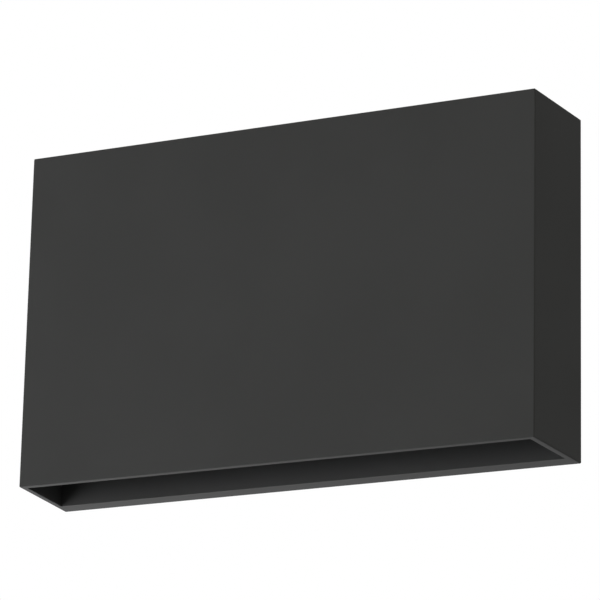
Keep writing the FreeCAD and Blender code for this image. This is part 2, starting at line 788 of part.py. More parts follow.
def supply_route(x, height):
    """Route a supply lead from the driver's left end down into a pole of the terminal block."""
    return [("-driver_half", "mid_depth", height), (x, "mid_depth", height),
            (x, "mid_depth", "terminal_top - terminal_entry_depth")]


def led_route(x, height):
    """Route an LED lead from the driver's right end down through the web to the board."""
    return [("driver_half", "wire_hole_y", height), (x, "wire_hole_y", height),
            (x, "wire_hole_y", "board_face")]


def earth_route():
    """Route the earth lead from the third pole over to the lug."""
    end_x = "earth_x - lug_tongue + lead_radius"
    return [("third_pole", "mid_depth", "terminal_top - terminal_entry_depth"),
            ("third_pole", "mid_depth", "earth_lead_top"), (end_x, "mid_depth", "earth_lead_top"),
            (end_x, "mid_depth", "lug_top")]


def make_rear_cover():
    """Plate that closes the service window, with openings for the cable grommet and the breather."""
    body = new_body("rear_cover")
    plate = block(body, "cover_plate", both_ways("cover_half"), ("cover_front", "cover_rear"),
                  ("cover_low", "cover_high"))
    round_edges(body, plate, "lens_corner", ALONG_Y)
    holes(body, "cover_holes", FRONTWARDS, "cover_rear", cover_screw_spots(), SMALL_THROUGH, "cover_thick")
    holes(body, "entry_hole", FRONTWARDS, "cover_rear", [ENTRY_SPOT], "grommet_neck_radius + snug_gap",
          "cover_thick")
    holes(body, "vent_hole", FRONTWARDS, "cover_rear", [VENT_SPOT], "vent_radius + snug_gap", "cover_thick")
    return body


def make_cover_seal():
    """Flat seal around the service window, under the rear cover."""
    body = new_body("cover_seal")
    depth = ("web_rear", "cover_front")
    sheet = block(body, "seal_sheet", both_ways("cover_half - snug_gap"), depth,
                  ("cover_low + snug_gap", "cover_high - snug_gap"))
    round_edges(body, sheet, "lens_corner", ALONG_Y)
    block(body, "seal_window", both_ways("window_half + drop_in_gap"), depth,
          ("window_low - drop_in_gap", "window_high + drop_in_gap"), cut=True)
    holes(body, "seal_holes", FRONTWARDS, "cover_front", cover_screw_spots(), SMALL_THROUGH,
          "cover_seal_thick")
    return body


def make_cable_grommet():
    """Rubber grommet in the rear cover, where the supply cable comes in."""
    body = new_body("cable_grommet")
    flange_rear = "cover_rear + grommet_flange_thick"
    bosses(body, "grommet_neck", FRONTWARDS, "cover_rear", [ENTRY_SPOT], "grommet_neck_radius", "cover_thick")
    bosses(body, "grommet_flange", FRONTWARDS, flange_rear, [ENTRY_SPOT], "grommet_flange_radius",
           "grommet_flange_thick")
    nose = body.newObject("PartDesign::AdditiveCone", "grommet_nose")
    nose.Placement = Placement(Vector(), POINT_TO_WALL)
    bind(nose, y="cover_front - grommet_nose_length", z="entry_height", Height="grommet_nose_length",
         Radius1="grommet_nose_radius", Radius2="grommet_neck_radius + drop_in_gap")
    holes(body, "grommet_bore", FRONTWARDS, flange_rear, [ENTRY_SPOT], "grommet_bore_radius",
          "grommet_flange_thick + cover_thick + grommet_nose_length")
    return body


def make_breather_vent():
    """Vent plug in the rear cover that lets the bay's air pressure level out."""
    body = new_body("breather_vent")
    bosses(body, "vent_neck", FRONTWARDS, "cover_rear", [VENT_SPOT], "vent_radius", "cover_rear - web_rear")
    bosses(body, "vent_flange", FRONTWARDS, "cover_rear + vent_flange_thick", [VENT_SPOT],
           "vent_flange_radius", "vent_flange_thick")
    return body


# --- wall bracket ------------------------------------------------------------------------------------

def at_wall(edge):
    """Tell whether an edge runs along X on the wall's plane."""
    return ALONG_X(edge) and abs(edge.CenterOfMass.y) < TOUCHING


def at_inner_bend(edge):
    """Tell whether an edge runs along X in the corner between the bracket's plate and a flange."""
    depth = -value("bracket_thick")
    height = value("bracket_top - bracket_thick")
    centre = edge.CenterOfMass
    return ALONG_X(edge) and abs(centre.y - depth) < TOUCHING and abs(abs(centre.z) - height) < TOUCHING


def make_wall_bracket():
    """Bent steel plate with slots for a junction box, and a raised bridge for the earth screw."""
    body = new_body("wall_bracket")
    width = both_ways("bracket_half")
    blank = block(body, "bracket_blank", width, ("bracket_front", "0"), both_ways("bracket_top"))
    round_edges(body, blank, "bracket_bend + bracket_thick", at_wall)
    hollow = block(body, "bracket_hollow", width, ("bracket_front", "-bracket_thick"),
                   both_ways("bracket_top - bracket_thick"), cut=True)
    round_edges(body, hollow, "bracket_bend", at_inner_bend)
    holes(body, "wire_pass", FRONTWARDS, "0", [ENTRY_SPOT], "wire_pass_radius", "bracket_thick")
    corners = [(x + "wall_screw_spacing_x / 2", z + "wall_screw_spacing_z / 2") for x in "-+" for z in "-+"]
    holes(body, "wall_holes", FRONTWARDS, "0", corners, "wall_hole_radius", "bracket_thick")
    cut_box_slots(body)
    add_earth_bridge(body)
    return body


def cut_box_slots(body):
    """Two slots along X with round ends, for the screws of a junction box."""
    reach = "box_slot_length / 2 - box_slot_width / 2"
    centres = {"left": "-box_screw_spacing / 2", "right": "box_screw_spacing / 2"}
    for side, centre in centres.items():
        block(body, "slot_" + side, around(centre, reach), ("-bracket_thick", "0"),
              around("entry_height", "box_slot_width / 2"), cut=True)
    ends = [(x, "entry_height") for centre in centres.values() for x in around(centre, reach)]
    holes(body, "slot_ends", FRONTWARDS, "0", ends, "box_slot_width / 2", "bracket_thick")


def add_earth_bridge(body):
    """Raised strip that keeps the earth screw's tip off the wall."""
    z = around("-bridge_drop", "bridge_height / 2")
    block(body, "bridge", both_ways("bridge_width / 2"), ("bridge_front", "-bracket_thick"), z)
    block(body, "bridge_window", both_ways("bridge_width / 2 - bracket_thick"), ("bridge_rear", "0"), z,
          cut=True)
    holes(body, "bridge_tap", FRONTWARDS, "bridge_rear", [("0", "-bridge_drop")], LARGE_TAP, "bracket_thick")


def make_set_screw(label, spot):
    """Headless screw in the top rim that locks the casting to the bracket."""
    body = new_body(label)
    bosses(body, label + "_shank", UPWARDS, "set_screw_top - set_screw_length", [spot], "large_screw_radius",
           "set_screw_length")
    key = body.newObject("PartDesign::SubtractivePrism", label + "_key")
    key.Polygon = HEX_COUNT
    bind(key, x=spot[0], y=spot[1], z="set_screw_top - 2 * key_depth", Circumradius="small_key_radius",
         Height="2 * key_depth")
    return body


# --- the whole light ---------------------------------------------------------------------------------

def make_screws():
    """Make each group of screws from its own pattern."""
    cover = screw("cover_screw", "small", "cover_screw_length")
    frame = screw("frame_screw", "large", "frame_screw_length")
    board = screw("board_screw", "small", "board_screw_length")
    driver = screw("driver_screw", "small", "driver_screw_length")
    terminal = screw("terminal_screw", "small", "terminal_screw_length")
    earth = screw("casting_screw", "large", "earth_screw_length")
    bridge = screw("bridge_screw", "large", "bridge_screw_length")
    tab_rear = "driver_front + driver_tab_thick"
    tab_top = "bay_floor + terminal_tab_thick"
    return [
        group("rear_cover_screws", cover, at_depth(cover_screw_spots(), "cover_rear"), POINT_TO_WALL),
        group("lens_frame_screws", frame, at_height(FRAME_SCREW_SPOTS, "frame_face"), POINT_DOWN),
        group("led_board_screws", board, at_height(BOARD_SCREW_SPOTS, "board_face"), POINT_DOWN),
        group("driver_screws", driver, at_depth(DRIVER_SCREW_SPOTS, tab_rear), POINT_TO_WALL),
        group("terminal_screws", terminal, at_height(TERMINAL_SCREW_SPOTS, tab_top), POINT_UP),
        group("earth_screw", earth, at_height([EARTH_SPOT], "lug_top"), POINT_UP),
        group("bracket_earth_screw", bridge, [("0", "bridge_front", "-bridge_drop")], POINT_TO_FRONT),
    ]


def make_light():
    """Make every sub-part."""
    supply_routes = [supply_route("second_pole", "driver_low + supply_rise"),
                     supply_route("first_pole", "driver_low + supply_rise + pole_pitch")]
    led_routes = [led_route("board_screw_x - lead_step / 2", "driver_low + led_rise"),
                  led_route("board_screw_x + lead_step / 2", "driver_low + led_rise + 2 * lead_step")]
    return [
        make_housing(),
        make_wall_seal(),
        make_lens(),
        make_lens_seal(),
        make_lens_frame(),
        make_board_layer("led_board", "board_face", "board_thick"),
        make_board_layer("thermal_pad", "board_top", "pad_thick"),
        make_led_chips(),
        make_reflector(),
        make_led_connector(),
        make_lead_grommet(),
        make_driver(),
        make_terminal_block(),
        make_earth_lug(),
        make_leads("supply_leads", supply_routes),
        make_leads("led_leads", led_routes),
        make_leads("earth_lead", [earth_route()]),
        make_rear_cover(),
        make_cover_seal(),
        make_cable_grommet(),
        make_breather_vent(),
        make_wall_bracket(),
        make_set_screw("set_screw_left", SET_SCREW_SPOTS[0]),
        make_set_screw("set_screw_right", SET_SCREW_SPOTS[1]),
    ] + make_screws()


def check_light(parts):
    """Stop if any feature failed, if a cut removed nothing, or if a sub-part has no valid shape."""
    failed = [item.Name for item in doc.Objects if {"Invalid", "Error"} & set(item.State)]
    failed += [part.Label for part in parts if part.Shape.isNull() or not part.Shape.isValid()]
    for item in doc.Objects:
        if item.TypeId == "PartDesign::Pocket" and item.Shape.Volume >= item.BaseFeature.Shape.Volume:
            failed.append(item.Name)
    if failed:
        raise RuntimeError("failed: " + ", ".join(failed))


def save_light(parts):
    """Write each sub-part under its own name."""
    os.makedirs("parts", exist_ok=True)
    for part in parts:
        part.Shape.exportStep("parts/%s.step" % part.Label)
        print("%-20s %2d solids %10.1f mm3" % (part.Label, len(part.Shape.Solids), part.Shape.Volume))


light = make_light()
doc.recompute()
check_light(light)
save_light(light)
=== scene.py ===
"""Looks of a slim cast wall light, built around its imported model.

The casting, its covers and its bracket keep their own solids and take a finish here. The screws, the
glass, the LED packages, the cable grommet and the breather are built again as finer surfaces.
All places are in metres in the model's own frame: +X right, +Y into the wall, +Z up.
"""

import logging
import math
from dataclasses import dataclass, field
from enum import Enum
from functools import cache
from typing import Any

import bmesh
import bpy
import numpy as np
from mathutils import Matrix, Vector


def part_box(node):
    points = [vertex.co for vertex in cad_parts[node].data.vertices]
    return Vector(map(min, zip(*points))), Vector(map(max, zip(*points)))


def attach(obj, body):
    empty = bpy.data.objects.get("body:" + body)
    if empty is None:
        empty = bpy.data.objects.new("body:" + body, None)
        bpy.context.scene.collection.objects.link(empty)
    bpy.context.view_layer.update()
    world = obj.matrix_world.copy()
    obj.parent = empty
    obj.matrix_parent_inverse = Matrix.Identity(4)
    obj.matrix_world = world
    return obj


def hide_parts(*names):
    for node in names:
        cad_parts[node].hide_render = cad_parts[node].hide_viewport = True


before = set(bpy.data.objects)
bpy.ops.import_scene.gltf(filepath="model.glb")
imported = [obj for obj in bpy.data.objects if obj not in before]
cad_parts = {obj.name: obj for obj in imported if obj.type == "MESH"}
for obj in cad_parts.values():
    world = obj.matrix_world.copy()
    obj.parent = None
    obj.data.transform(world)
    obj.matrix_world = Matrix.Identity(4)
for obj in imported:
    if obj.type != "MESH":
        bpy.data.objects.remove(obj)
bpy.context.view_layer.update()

log = logging.getLogger("wall_light")

MM = 0.001
SHARP_EDGE = math.radians(32)
WELD = 1e-7
WHITE = (1.0, 1.0, 1.0)
EVEN = (1.0, 1.0, 1.0)

Triple = tuple[float, float, float]
Spots = list[Triple]
Ring = tuple[float | np.ndarray, float | np.ndarray]
Pieces = list[bpy.types.Object]


# --- shader sums -------------------------------------------------------------------------------------

class Number:
    """A number socket that takes part in Python expressions."""

    def __init__(self, sheet: "NodeSheet", socket: bpy.types.NodeSocket) -> None:
        """Keep the socket and the sheet that it belongs to."""
        self.sheet = sheet
        self.socket = socket

    def _math(self, operation: str, *terms: "Number | float") -> "Number":
        """Add one Math node with an operation and its terms in order, and give its result."""
        node = self.sheet.node("ShaderNodeMath", {"operation": operation}, dict(enumerate(terms)))
        return Number(self.sheet, node.outputs[0])

    def __add__(self, other: "Number | float") -> "Number":
        """Give self + other."""
        return self._math("ADD", self, other)

    def __radd__(self, other: float) -> "Number":
        """Give other + self."""
        return self._math("ADD", other, self)

    def __sub__(self, other: "Number | float") -> "Number":
        """Give self - other."""
        return self._math("SUBTRACT", self, other)

    def __rsub__(self, other: float) -> "Number":
        """Give other - self."""
        return self._math("SUBTRACT", other, self)

    def __mul__(self, other: "Number | float") -> "Number":
        """Give self * other."""
        return self._math("MULTIPLY", self, other)

    def __rmul__(self, other: float) -> "Number":
        """Give other * self."""
        return self._math("MULTIPLY", other, self)

    def __abs__(self) -> "Number":
        """Give the number without its sign."""
        return self._math("ABSOLUTE", self)

    def below(self, limit: float) -> "Number":
        """Give 1 where the number is under a limit, and 0 elsewhere."""
        return self._math("LESS_THAN", self, limit)

    def largest(self, other: "Number | float") -> "Number":
        """Give the larger of two numbers."""
        return self._math("MAXIMUM", self, other)

    def joined(self, other: "Number", share: float) -> "Number":
        """Give a share of this number plus the rest of another."""
        return self * share + other * (1 - share)

    def swing(self, width: float) -> "Number":
        """Give a number of 0 to 1 as a swing of one width about nought."""
        return (self - 0.5) * width

    def ramp(self, low: float, high: float) -> "Number":
        """Give 0 at low, 1 at high and a smooth rise between.

        Args:
            low: The value that gives 0.
            high: The value that gives 1.

        Returns:
            The eased number.
        """
        node = self.sheet.node("ShaderNodeMapRange", {"interpolation_type": "SMOOTHSTEP"},
                               {"Value": self, "From Min": low, "From Max": high})
        return Number(self.sheet, node.outputs["Result"])


@dataclass(frozen=True)
class Patches:
    """Soft noise over a surface.

    The patches are about one size in metres. Where low and high are given, noise of low becomes 0 and
    noise of high becomes 1. The stretch multiplies each axis, so a small one draws lines along it.
    """

    size: float
    detail: float = 2.0
    low: float | None = None
    high: float | None = None
    stretch: Triple = EVEN


class CellEdge(Enum):
    """How a pattern of cells goes from one cell to the next."""

    SHARP = "F1"
    ROUND = "SMOOTH_F1"


class NodeSheet:
    """The node tree of one material or world."""

    def __init__(self, tree: bpy.types.NodeTree) -> None:
        """Start on an empty tree."""
        tree.nodes.clear()
        self.tree = tree

    def node(self, kind: str, settings: dict[str, Any] | None = None,
             inputs: dict[str | int, Any] | None = None) -> bpy.types.Node:
        """Add a node.

        Args:
            kind: The node's type.
            settings: The node's own settings. They are made before its sockets are filled.
            inputs: A value or a link for each named or numbered socket.

        Returns:
            The new node.
        """
        node = self.tree.nodes.new(kind)
        for name, setting in (settings or {}).items():
            setattr(node, name, setting)
        for name, value in (inputs or {}).items():
            self.fill(node.inputs[name], value)
        return node

    def fill(self, socket: bpy.types.NodeSocket, value: Any) -> None:
        """Link a socket, or set its value.

        Args:
            socket: The socket.
            value: A number in the tree, another node's socket, or a plain value. A plain colour has
                three parts and is made opaque.
        """
        if isinstance(value, Number):
            self.tree.links.new(value.socket, socket)
        elif isinstance(value, bpy.types.NodeSocket):
            self.tree.links.new(value, socket)
        elif socket.type == "RGBA":
            socket.default_value = (*value, 1.0)
        else:
            socket.default_value = value

    def place(self, stretch: Triple = EVEN) -> bpy.types.NodeSocket:
        """Give the place on the object in metres.

        Args:
            stretch: What each axis is multiplied by.

        Returns:
            The place's socket.
        """
        coordinates = self.node("ShaderNodeTexCoord").outputs["Object"]
        if stretch == EVEN:
            return coordinates
        scaled = self.node("ShaderNodeVectorMath", {"operation": "MULTIPLY"}, {0: coordinates, 1: stretch})
        return scaled.outputs[0]

    def axes(self) -> tuple[Number, ...]:
        """Give the three coordinates on the object as numbers."""
        parts = self.node("ShaderNodeSeparateXYZ", {}, {"Vector": self.place()})
        return tuple(Number(self, output) for output in parts.outputs)

    def noise(self, patches: Patches) -> Number:
        """Add soft noise from 0 to 1.

        Args:
            patches: Its size, detail, range and stretch.

        Returns:
            The noise.
        """
        node = self.node("ShaderNodeTexNoise", {}, {"Vector": self.place(patches.stretch),
                                                    "Scale": 1.0 / patches.size,
                                                    "Detail": patches.detail})
        noise = Number(self, node.outputs[0])
        return noise if patches.low is None else noise.ramp(patches.low, patches.high)

    def _cell_pattern(self, size: float, edge: CellEdge) -> bpy.types.Node:
        """Add a pattern of cells of about one size in metres."""
        return self.node("ShaderNodeTexVoronoi", {"feature": edge.value},
                         {"Vector": self.place(), "Scale": 1.0 / size})

    def cells(self, size: float, edge: CellEdge = CellEdge.SHARP) -> Number:
        """Give the distance from the nearest cell's centre, in cells of about one size in metres."""
        return Number(self, self._cell_pattern(size, edge).outputs["Distance"])

    def cell_shades(self, size: float) -> Number:
        """Give one even shade from 0 to 1 for each cell of about one size in metres."""
        colour = self._cell_pattern(size, CellEdge.SHARP).outputs["Color"]
        return Number(self, self.node("ShaderNodeSeparateColor", {}, {"Color": colour}).outputs[0])

    def blend(self, mask: Number, low: Any, high: Any) -> bpy.types.NodeSocket:
        """Mix two colours by a mask.

        Args:
            mask: The second colour's share.
            low: The first colour, as a value or a socket.
            high: The second colour, as a value or a socket.

        Returns:
            The mixed colour's socket.
        """
        factor, first, second, result = 0, 6, 7, 2
        node = self.node("ShaderNodeMix", {"data_type": "RGBA"}, {factor: mask, first: low, second: high})
        return node.outputs[result]

    def bump(self, height: Number, depth: float) -> bpy.types.NodeSocket:
        """Give the normal of a relief whose height of 0 to 1 stands for one depth in metres."""
        node = self.node("ShaderNodeBump", {}, {"Height": height, "Distance": depth})
        return node.outputs["Normal"]

    def surface(self, **sockets: Any) -> None:
        """Finish a material with one principled shader.

        Args:
            sockets: Values or links by socket name, with underscores for spaces.
        """
        inputs = {name.replace("_", " "): value for name, value in sockets.items()}
        shader = self.node("ShaderNodeBsdfPrincipled", {}, inputs)
        self.node("ShaderNodeOutputMaterial", {}, {"Surface": shader.outputs[0]})


# --- finishes ----------------------------------------------------------------------------------------

@dataclass(frozen=True)
class Finish:
    """What every finish has: two shades and a roughness."""

    shade: Triple
    second: Triple
    roughness: float

    def colour(self, sheet: NodeSheet, mask: Number) -> bpy.types.NodeSocket:
        """Give the colour, which goes from the first shade to the second with a mask."""
        return sheet.blend(mask, self.shade, self.second)

    def paint(self, sheet: NodeSheet) -> None:
        """Fill a material's empty node tree, in each finish's own way."""
        raise NotImplementedError

    def material(self, name: str) -> bpy.types.Material:
        """Make the material.

        Args:
            name: The record's material slot, which also names the material.

        Returns:
            The new material.
        """
        material = bpy.data.materials.new(name)
        material.use_nodes = True
        self.paint(NodeSheet(material.node_tree))
        return material


@dataclass(frozen=True)
class PowderCoat(Finish):
    """Satin powder coat: fine orange peel, with broad faint clouds in colour and gloss."""

    clouds: Patches = Patches(62 * MM, 3.0, 0.35, 0.65)
    peel: Patches = Patches(0.9 * MM)
    grain: Patches = Patches(0.24 * MM)
    cloud_share: float = 0.8
    cloud_dulling: float = 0.05
    grain_dulling: float = 0.1
    peel_share: float = 0.6
    peel_depth: float = 0.012 * MM
    specular: float = 0.05

    def paint(self, sheet: NodeSheet) -> None:
        """Paint the clouds with a little grain, and raise the peel.

        Args:
            sheet: The material's empty tree.
        """
        clouds, peel, grain = (sheet.noise(patches) for patches in (self.clouds, self.peel, self.grain))
        sheet.surface(
            Base_Color=self.colour(sheet, clouds.joined(grain, self.cloud_share)),
            Roughness=self.roughness + self.cloud_dulling * clouds + grain.swing(self.grain_dulling),
            Specular_IOR_Level=self.specular,
            Normal=sheet.bump(peel.joined(grain, self.peel_share), self.peel_depth))


@dataclass(frozen=True)
class CastingCoat(PowderCoat):
    """Powder coat with painted shade, which darkens it the deeper it lies in the light opening."""

    # the colour of the painted shade deep in the light opening
    painted_shade_colour: Triple = (0.013, 0.013, 0.013)
    front_y: float = -44.6 * MM
    rear_y: float = -9.0 * MM
    end_x: float = 120.6 * MM
    # the painted shade rises from none at the first height to full at the second
    unshaded_z: float = -75.5 * MM
    fully_shaded_z: float = -63.5 * MM
    end_z: float = -51.4 * MM
    # the painted shade's largest share of the coat's colour
    painted_shade_share: float = 0.5

    def colour(self, sheet: NodeSheet, mask: Number) -> bpy.types.NodeSocket:
        """Give the coat's colour, with painted shade mixed in inside the opening.

        The painted shade's share is a product: 1 between the opening's front and rear, 1 between its ends,
        a smooth rise with the height over its mouth, 1 up to its end, and the shade's largest share.

        Args:
            sheet: The material's tree.
            mask: The share of the coat's second shade.

        Returns:
            The colour's socket.
        """
        along, across, height = sheet.axes()
        inside = (self.front_y - across).below(0.0) * (across - self.rear_y).below(0.0) \
            * (abs(along) - self.end_x).below(0.0)
        deep = height.ramp(self.unshaded_z, self.fully_shaded_z) * (height - self.end_z).below(0.0)
        # mix in the painted shade deep inside the light opening, where shade falls
        return sheet.blend(inside * deep * self.painted_shade_share, super().colour(sheet, mask), self.painted_shade_colour)


@dataclass(frozen=True)
class BrushedMetal(Finish):
    """Bare metal with fine lines drawn along X, and broad hand-worn patches."""

    lines: Patches = Patches(0.35 * MM, 3.0, stretch=(0.02, 1.0, 1.0))
    worn: Patches = Patches(26 * MM)
    line_share: float = 0.6
    line_dulling: float = 0.22
    worn_dulling: float = 0.1
    line_depth: float = 0.006 * MM

    def paint(self, sheet: NodeSheet) -> None:
        """Draw the lines in colour, gloss and relief, over the worn patches.

        Args:
            sheet: The material's empty tree.
        """
        lines, worn = sheet.noise(self.lines), sheet.noise(self.worn)
        sheet.surface(
            Base_Color=self.colour(sheet, lines.joined(worn, self.line_share)),
            Metallic=1.0,
            Roughness=self.roughness + lines.swing(self.line_dulling) + self.worn_dulling * worn,
            Normal=sheet.bump(lines, self.line_depth))


@dataclass(frozen=True)
class ZincPlate(Finish):
    """Zinc on steel: flat crystal patches, fine scuffs and a dull bloom."""

    crystal_size: float = 5 * MM
    scuffs: Patches = Patches(0.6 * MM, 4.0, stretch=(0.25, 1.0, 1.0))
    bloom: Patches = Patches(30 * MM, 3.0, 0.45, 0.7)
    crystal_share: float = 0.45
    scuff_share: float = 0.2
    bloom_share: float = 0.35
    crystal_dulling: float = 0.12
    scuff_dulling: float = 0.1
    bloom_dulling: float = 0.18
    scuff_relief: float = 0.7
    relief: float = 0.008 * MM

    def paint(self, sheet: NodeSheet) -> None:
        """Lay the crystals, the scuffs and the bloom over one another.

        Args:
            sheet: The material's empty tree.
        """
        crystal = sheet.cell_shades(self.crystal_size)
        scuffs, bloom = sheet.noise(self.scuffs), sheet.noise(self.bloom)
        mask = crystal * self.crystal_share + scuffs * self.scuff_share + bloom * self.bloom_share
        dulling = self.crystal_dulling * crystal + self.bloom_dulling * bloom
        sheet.surface(
            Base_Color=self.colour(sheet, mask),
            Metallic=1.0,
            Roughness=self.roughness + dulling + scuffs.swing(self.scuff_dulling),
            Normal=sheet.bump(scuffs.joined(crystal, self.scuff_relief), self.relief))


@dataclass(frozen=True)
class PlainMetal(Finish):
    """Small turned or pressed metal parts, with tarnish in patches."""

    tarnish: Patches = Patches(2.5 * MM, 3.0, 0.4, 0.75)
    marks: Patches = Patches(0.18 * MM)
    tarnish_dulling: float = 0.1
    mark_dulling: float = 0.08
    mark_depth: float = 0.003 * MM

    def paint(self, sheet: NodeSheet) -> None:
        """Paint the tarnish, and roughen and raise the tool marks.

        Args:
            sheet: The material's empty tree.
        """
        tarnish, marks = sheet.noise(self.tarnish), sheet.noise(self.marks)
        sheet.surface(
            Base_Color=self.colour(sheet, tarnish),
            Metallic=1.0,
            Roughness=self.roughness + self.tarnish_dulling * tarnish + marks.swing(self.mark_dulling),
            Normal=sheet.bump(marks, self.mark_depth))


@dataclass(frozen=True)
class PeenedMirror(Finish):
    """Polished aluminium with shallow round dimples that spread the light."""

    dimple_size: float = 2.2 * MM
    dimple_depth: float = 0.05 * MM
    haze: Patches = Patches(9 * MM)
    haze_dulling: float = 0.08

    def paint(self, sheet: NodeSheet) -> None:
        """Press the dimples, and lay a haze over them.

        Args:
            sheet: The material's empty tree.
        """
        haze = sheet.noise(self.haze)
        sheet.surface(
            Base_Color=self.colour(sheet, haze),
            Metallic=1.0,
            Roughness=self.roughness + self.haze_dulling * haze,
            Normal=sheet.bump(sheet.cells(self.dimple_size, CellEdge.ROUND), self.dimple_depth))


@dataclass(frozen=True)
class EtchedGlass(Finish):
    """Pressed glass with a fine etched surface."""

    etch: Patches = Patches(0.15 * MM)
    flow: Patches = Patches(18 * MM)
    etch_dulling: float = 0.08
    flow_dulling: float = 0.05
    etch_depth: float = 0.004 * MM
    refraction: float = 1.5

    def paint(self, sheet: NodeSheet) -> None:
        """Tint the glass with its flow, and roughen and raise the etching.

        Args:
            sheet: The material's empty tree.
        """
        etch, flow = sheet.noise(self.etch), sheet.noise(self.flow)
        sheet.surface(
            Base_Color=self.colour(sheet, flow),
            Roughness=self.roughness + self.etch_dulling * etch + self.flow_dulling * flow,
            IOR=self.refraction,
            Transmission_Weight=1.0,
            Normal=sheet.bump(etch, self.etch_depth))


@dataclass(frozen=True)
class Moulded(Finish):
    """Moulded plastic or rubber: an even spark grain, with faint flow clouds."""

    grain: Patches = Patches(0.3 * MM)
    flow: Patches = Patches(14 * MM, 2.0, 0.3, 0.7)
    flow_share: float = 0.7
    grain_dulling: float = 0.1
    flow_dulling: float = 0.05
    grain_depth: float = 0.01 * MM
    coat: float = 0.0

    def paint(self, sheet: NodeSheet) -> None:
        """Paint the flow with a little grain, and raise the grain.

        Args:
            sheet: The material's empty tree.
        """
        grain, flow = sheet.noise(self.grain), sheet.noise(self.flow)
        sheet.surface(
            Base_Color=self.colour(sheet, flow.joined(grain, self.flow_share)),
            Roughness=self.roughness + grain.swing(self.grain_dulling) + self.flow_dulling * flow,
            Coat_Weight=self.coat,
            Normal=sheet.bump(grain, self.grain_depth))


@dataclass(frozen=True)
class CellFoam(Finish):
    """Closed-cell foam: small round pits, with painted shade that darkens each pit towards its floor."""

    pit_size: float = 0.55 * MM
    pit_floor: float = 0.1
    pit_wall: float = 0.7
    pit_dulling: float = 0.06
    pit_depth: float = 0.12 * MM

    def paint(self, sheet: NodeSheet) -> None:
        """Darken the pits towards their floors with painted shade, and sink them.

        Args:
            sheet: The material's empty tree.
        """
        # painted shade: the pits' floors are coloured darker, where shade falls
        pits = sheet.cells(self.pit_size).ramp(self.pit_floor, self.pit_wall)
        sheet.surface(
            Base_Color=self.colour(sheet, pits),
            Roughness=self.roughness + self.pit_dulling * pits,
            Normal=sheet.bump(pits, self.pit_depth))


@dataclass(frozen=True)
class BoardMask(Finish):
    """White solder mask over two copper tracks that run beside the LED row."""

    row_y: float = -26.7 * MM
    track_offset: float = 6.5 * MM
    track_half: float = 1.1 * MM
    grain: Patches = Patches(0.2 * MM)
    track_share: float = 0.6
    grain_share: float = 0.1
    grain_dulling: float = 0.1
    track_relief: float = 0.8
    relief: float = 0.03 * MM

    def paint(self, sheet: NodeSheet) -> None:
        """Darken and raise the tracks, which lie at one distance from the row on either side.

        Args:
            sheet: The material's empty tree.
        """
        _, across, _ = sheet.axes()
        track = abs(abs(across - self.row_y) - self.track_offset).below(self.track_half)
        grain = sheet.noise(self.grain)
        sheet.surface(
            Base_Color=self.colour(sheet, track * self.track_share + grain * self.grain_share),
            Roughness=self.roughness + self.grain_dulling * grain,
            Normal=sheet.bump(track.joined(grain, self.track_relief), self.relief))


FINISHES: dict[str, Finish] = {
    # the casting's coat carries painted shade inside the light opening
    "housing_coat": CastingCoat((0.0342, 0.0345, 0.0343), (0.0374, 0.0377, 0.0376), 0.62),
    "frame_coat": PowderCoat((0.024, 0.0242, 0.024), (0.029, 0.0293, 0.0293), 0.6),
    "cover_sheet": BrushedMetal((0.56, 0.57, 0.58), (0.68, 0.69, 0.7), 0.34),
    "bracket_steel": ZincPlate((0.46, 0.47, 0.48), (0.62, 0.63, 0.63), 0.3),
    "screw_steel": PlainMetal((0.42, 0.415, 0.405), (0.36, 0.355, 0.345), 0.3),
    "earth_screw_brass": PlainMetal((0.78, 0.56, 0.22), (0.55, 0.38, 0.16), 0.24),
    "lug_brass": PlainMetal((0.72, 0.69, 0.62), (0.58, 0.54, 0.46), 0.3),
    "lens_glass": EtchedGlass((0.93, 0.97, 0.955), (0.96, 0.985, 0.975), 0.05),
    "silicone_seal": Moulded((0.42, 0.42, 0.41), (0.5, 0.5, 0.49), 0.55),
    "foam_seal": CellFoam((0.012, 0.012, 0.012), (0.035, 0.035, 0.035), 0.9),
    "grommet_rubber": Moulded((0.014, 0.014, 0.014), (0.022, 0.022, 0.022), 0.6),
    "thermal_pad": Moulded((0.25, 0.33, 0.42), (0.3, 0.38, 0.46), 0.7),
    "board_mask": BoardMask((0.82, 0.82, 0.8), (0.72, 0.72, 0.69), 0.35),
    "led_phosphor": Moulded((0.8, 0.58, 0.05), (0.9, 0.68, 0.1), 0.4, coat=0.4),
    "reflector": PeenedMirror((0.86, 0.86, 0.86), (0.92, 0.92, 0.92), 0.08),
    "connector_plastic": Moulded((0.75, 0.73, 0.66), (0.82, 0.8, 0.74), 0.45),
    "driver_case": Moulded((0.68, 0.68, 0.65), (0.76, 0.76, 0.74), 0.5),
    "terminal_plastic": Moulded((0.6, 0.61, 0.58), (0.7, 0.7, 0.68), 0.45),
    "vent_plastic": Moulded((0.02, 0.02, 0.02), (0.032, 0.032, 0.032), 0.5),
    "supply_insulation": Moulded((0.02, 0.02, 0.022), (0.03, 0.03, 0.033), 0.4, coat=0.2),
    "led_insulation": Moulded((0.42, 0.03, 0.02), (0.5, 0.05, 0.03), 0.4, coat=0.2),
    "earth_insulation": Moulded((0.03, 0.24, 0.05), (0.05, 0.3, 0.08), 0.4, coat=0.2),
}


@cache
def material_of(slot: str) -> bpy.types.Material:
    """Give the material of one of the record's slots, made on first use."""
    return FINISHES[slot].material(slot)


# --- surfaces ----------------------------------------------------------------------------------------

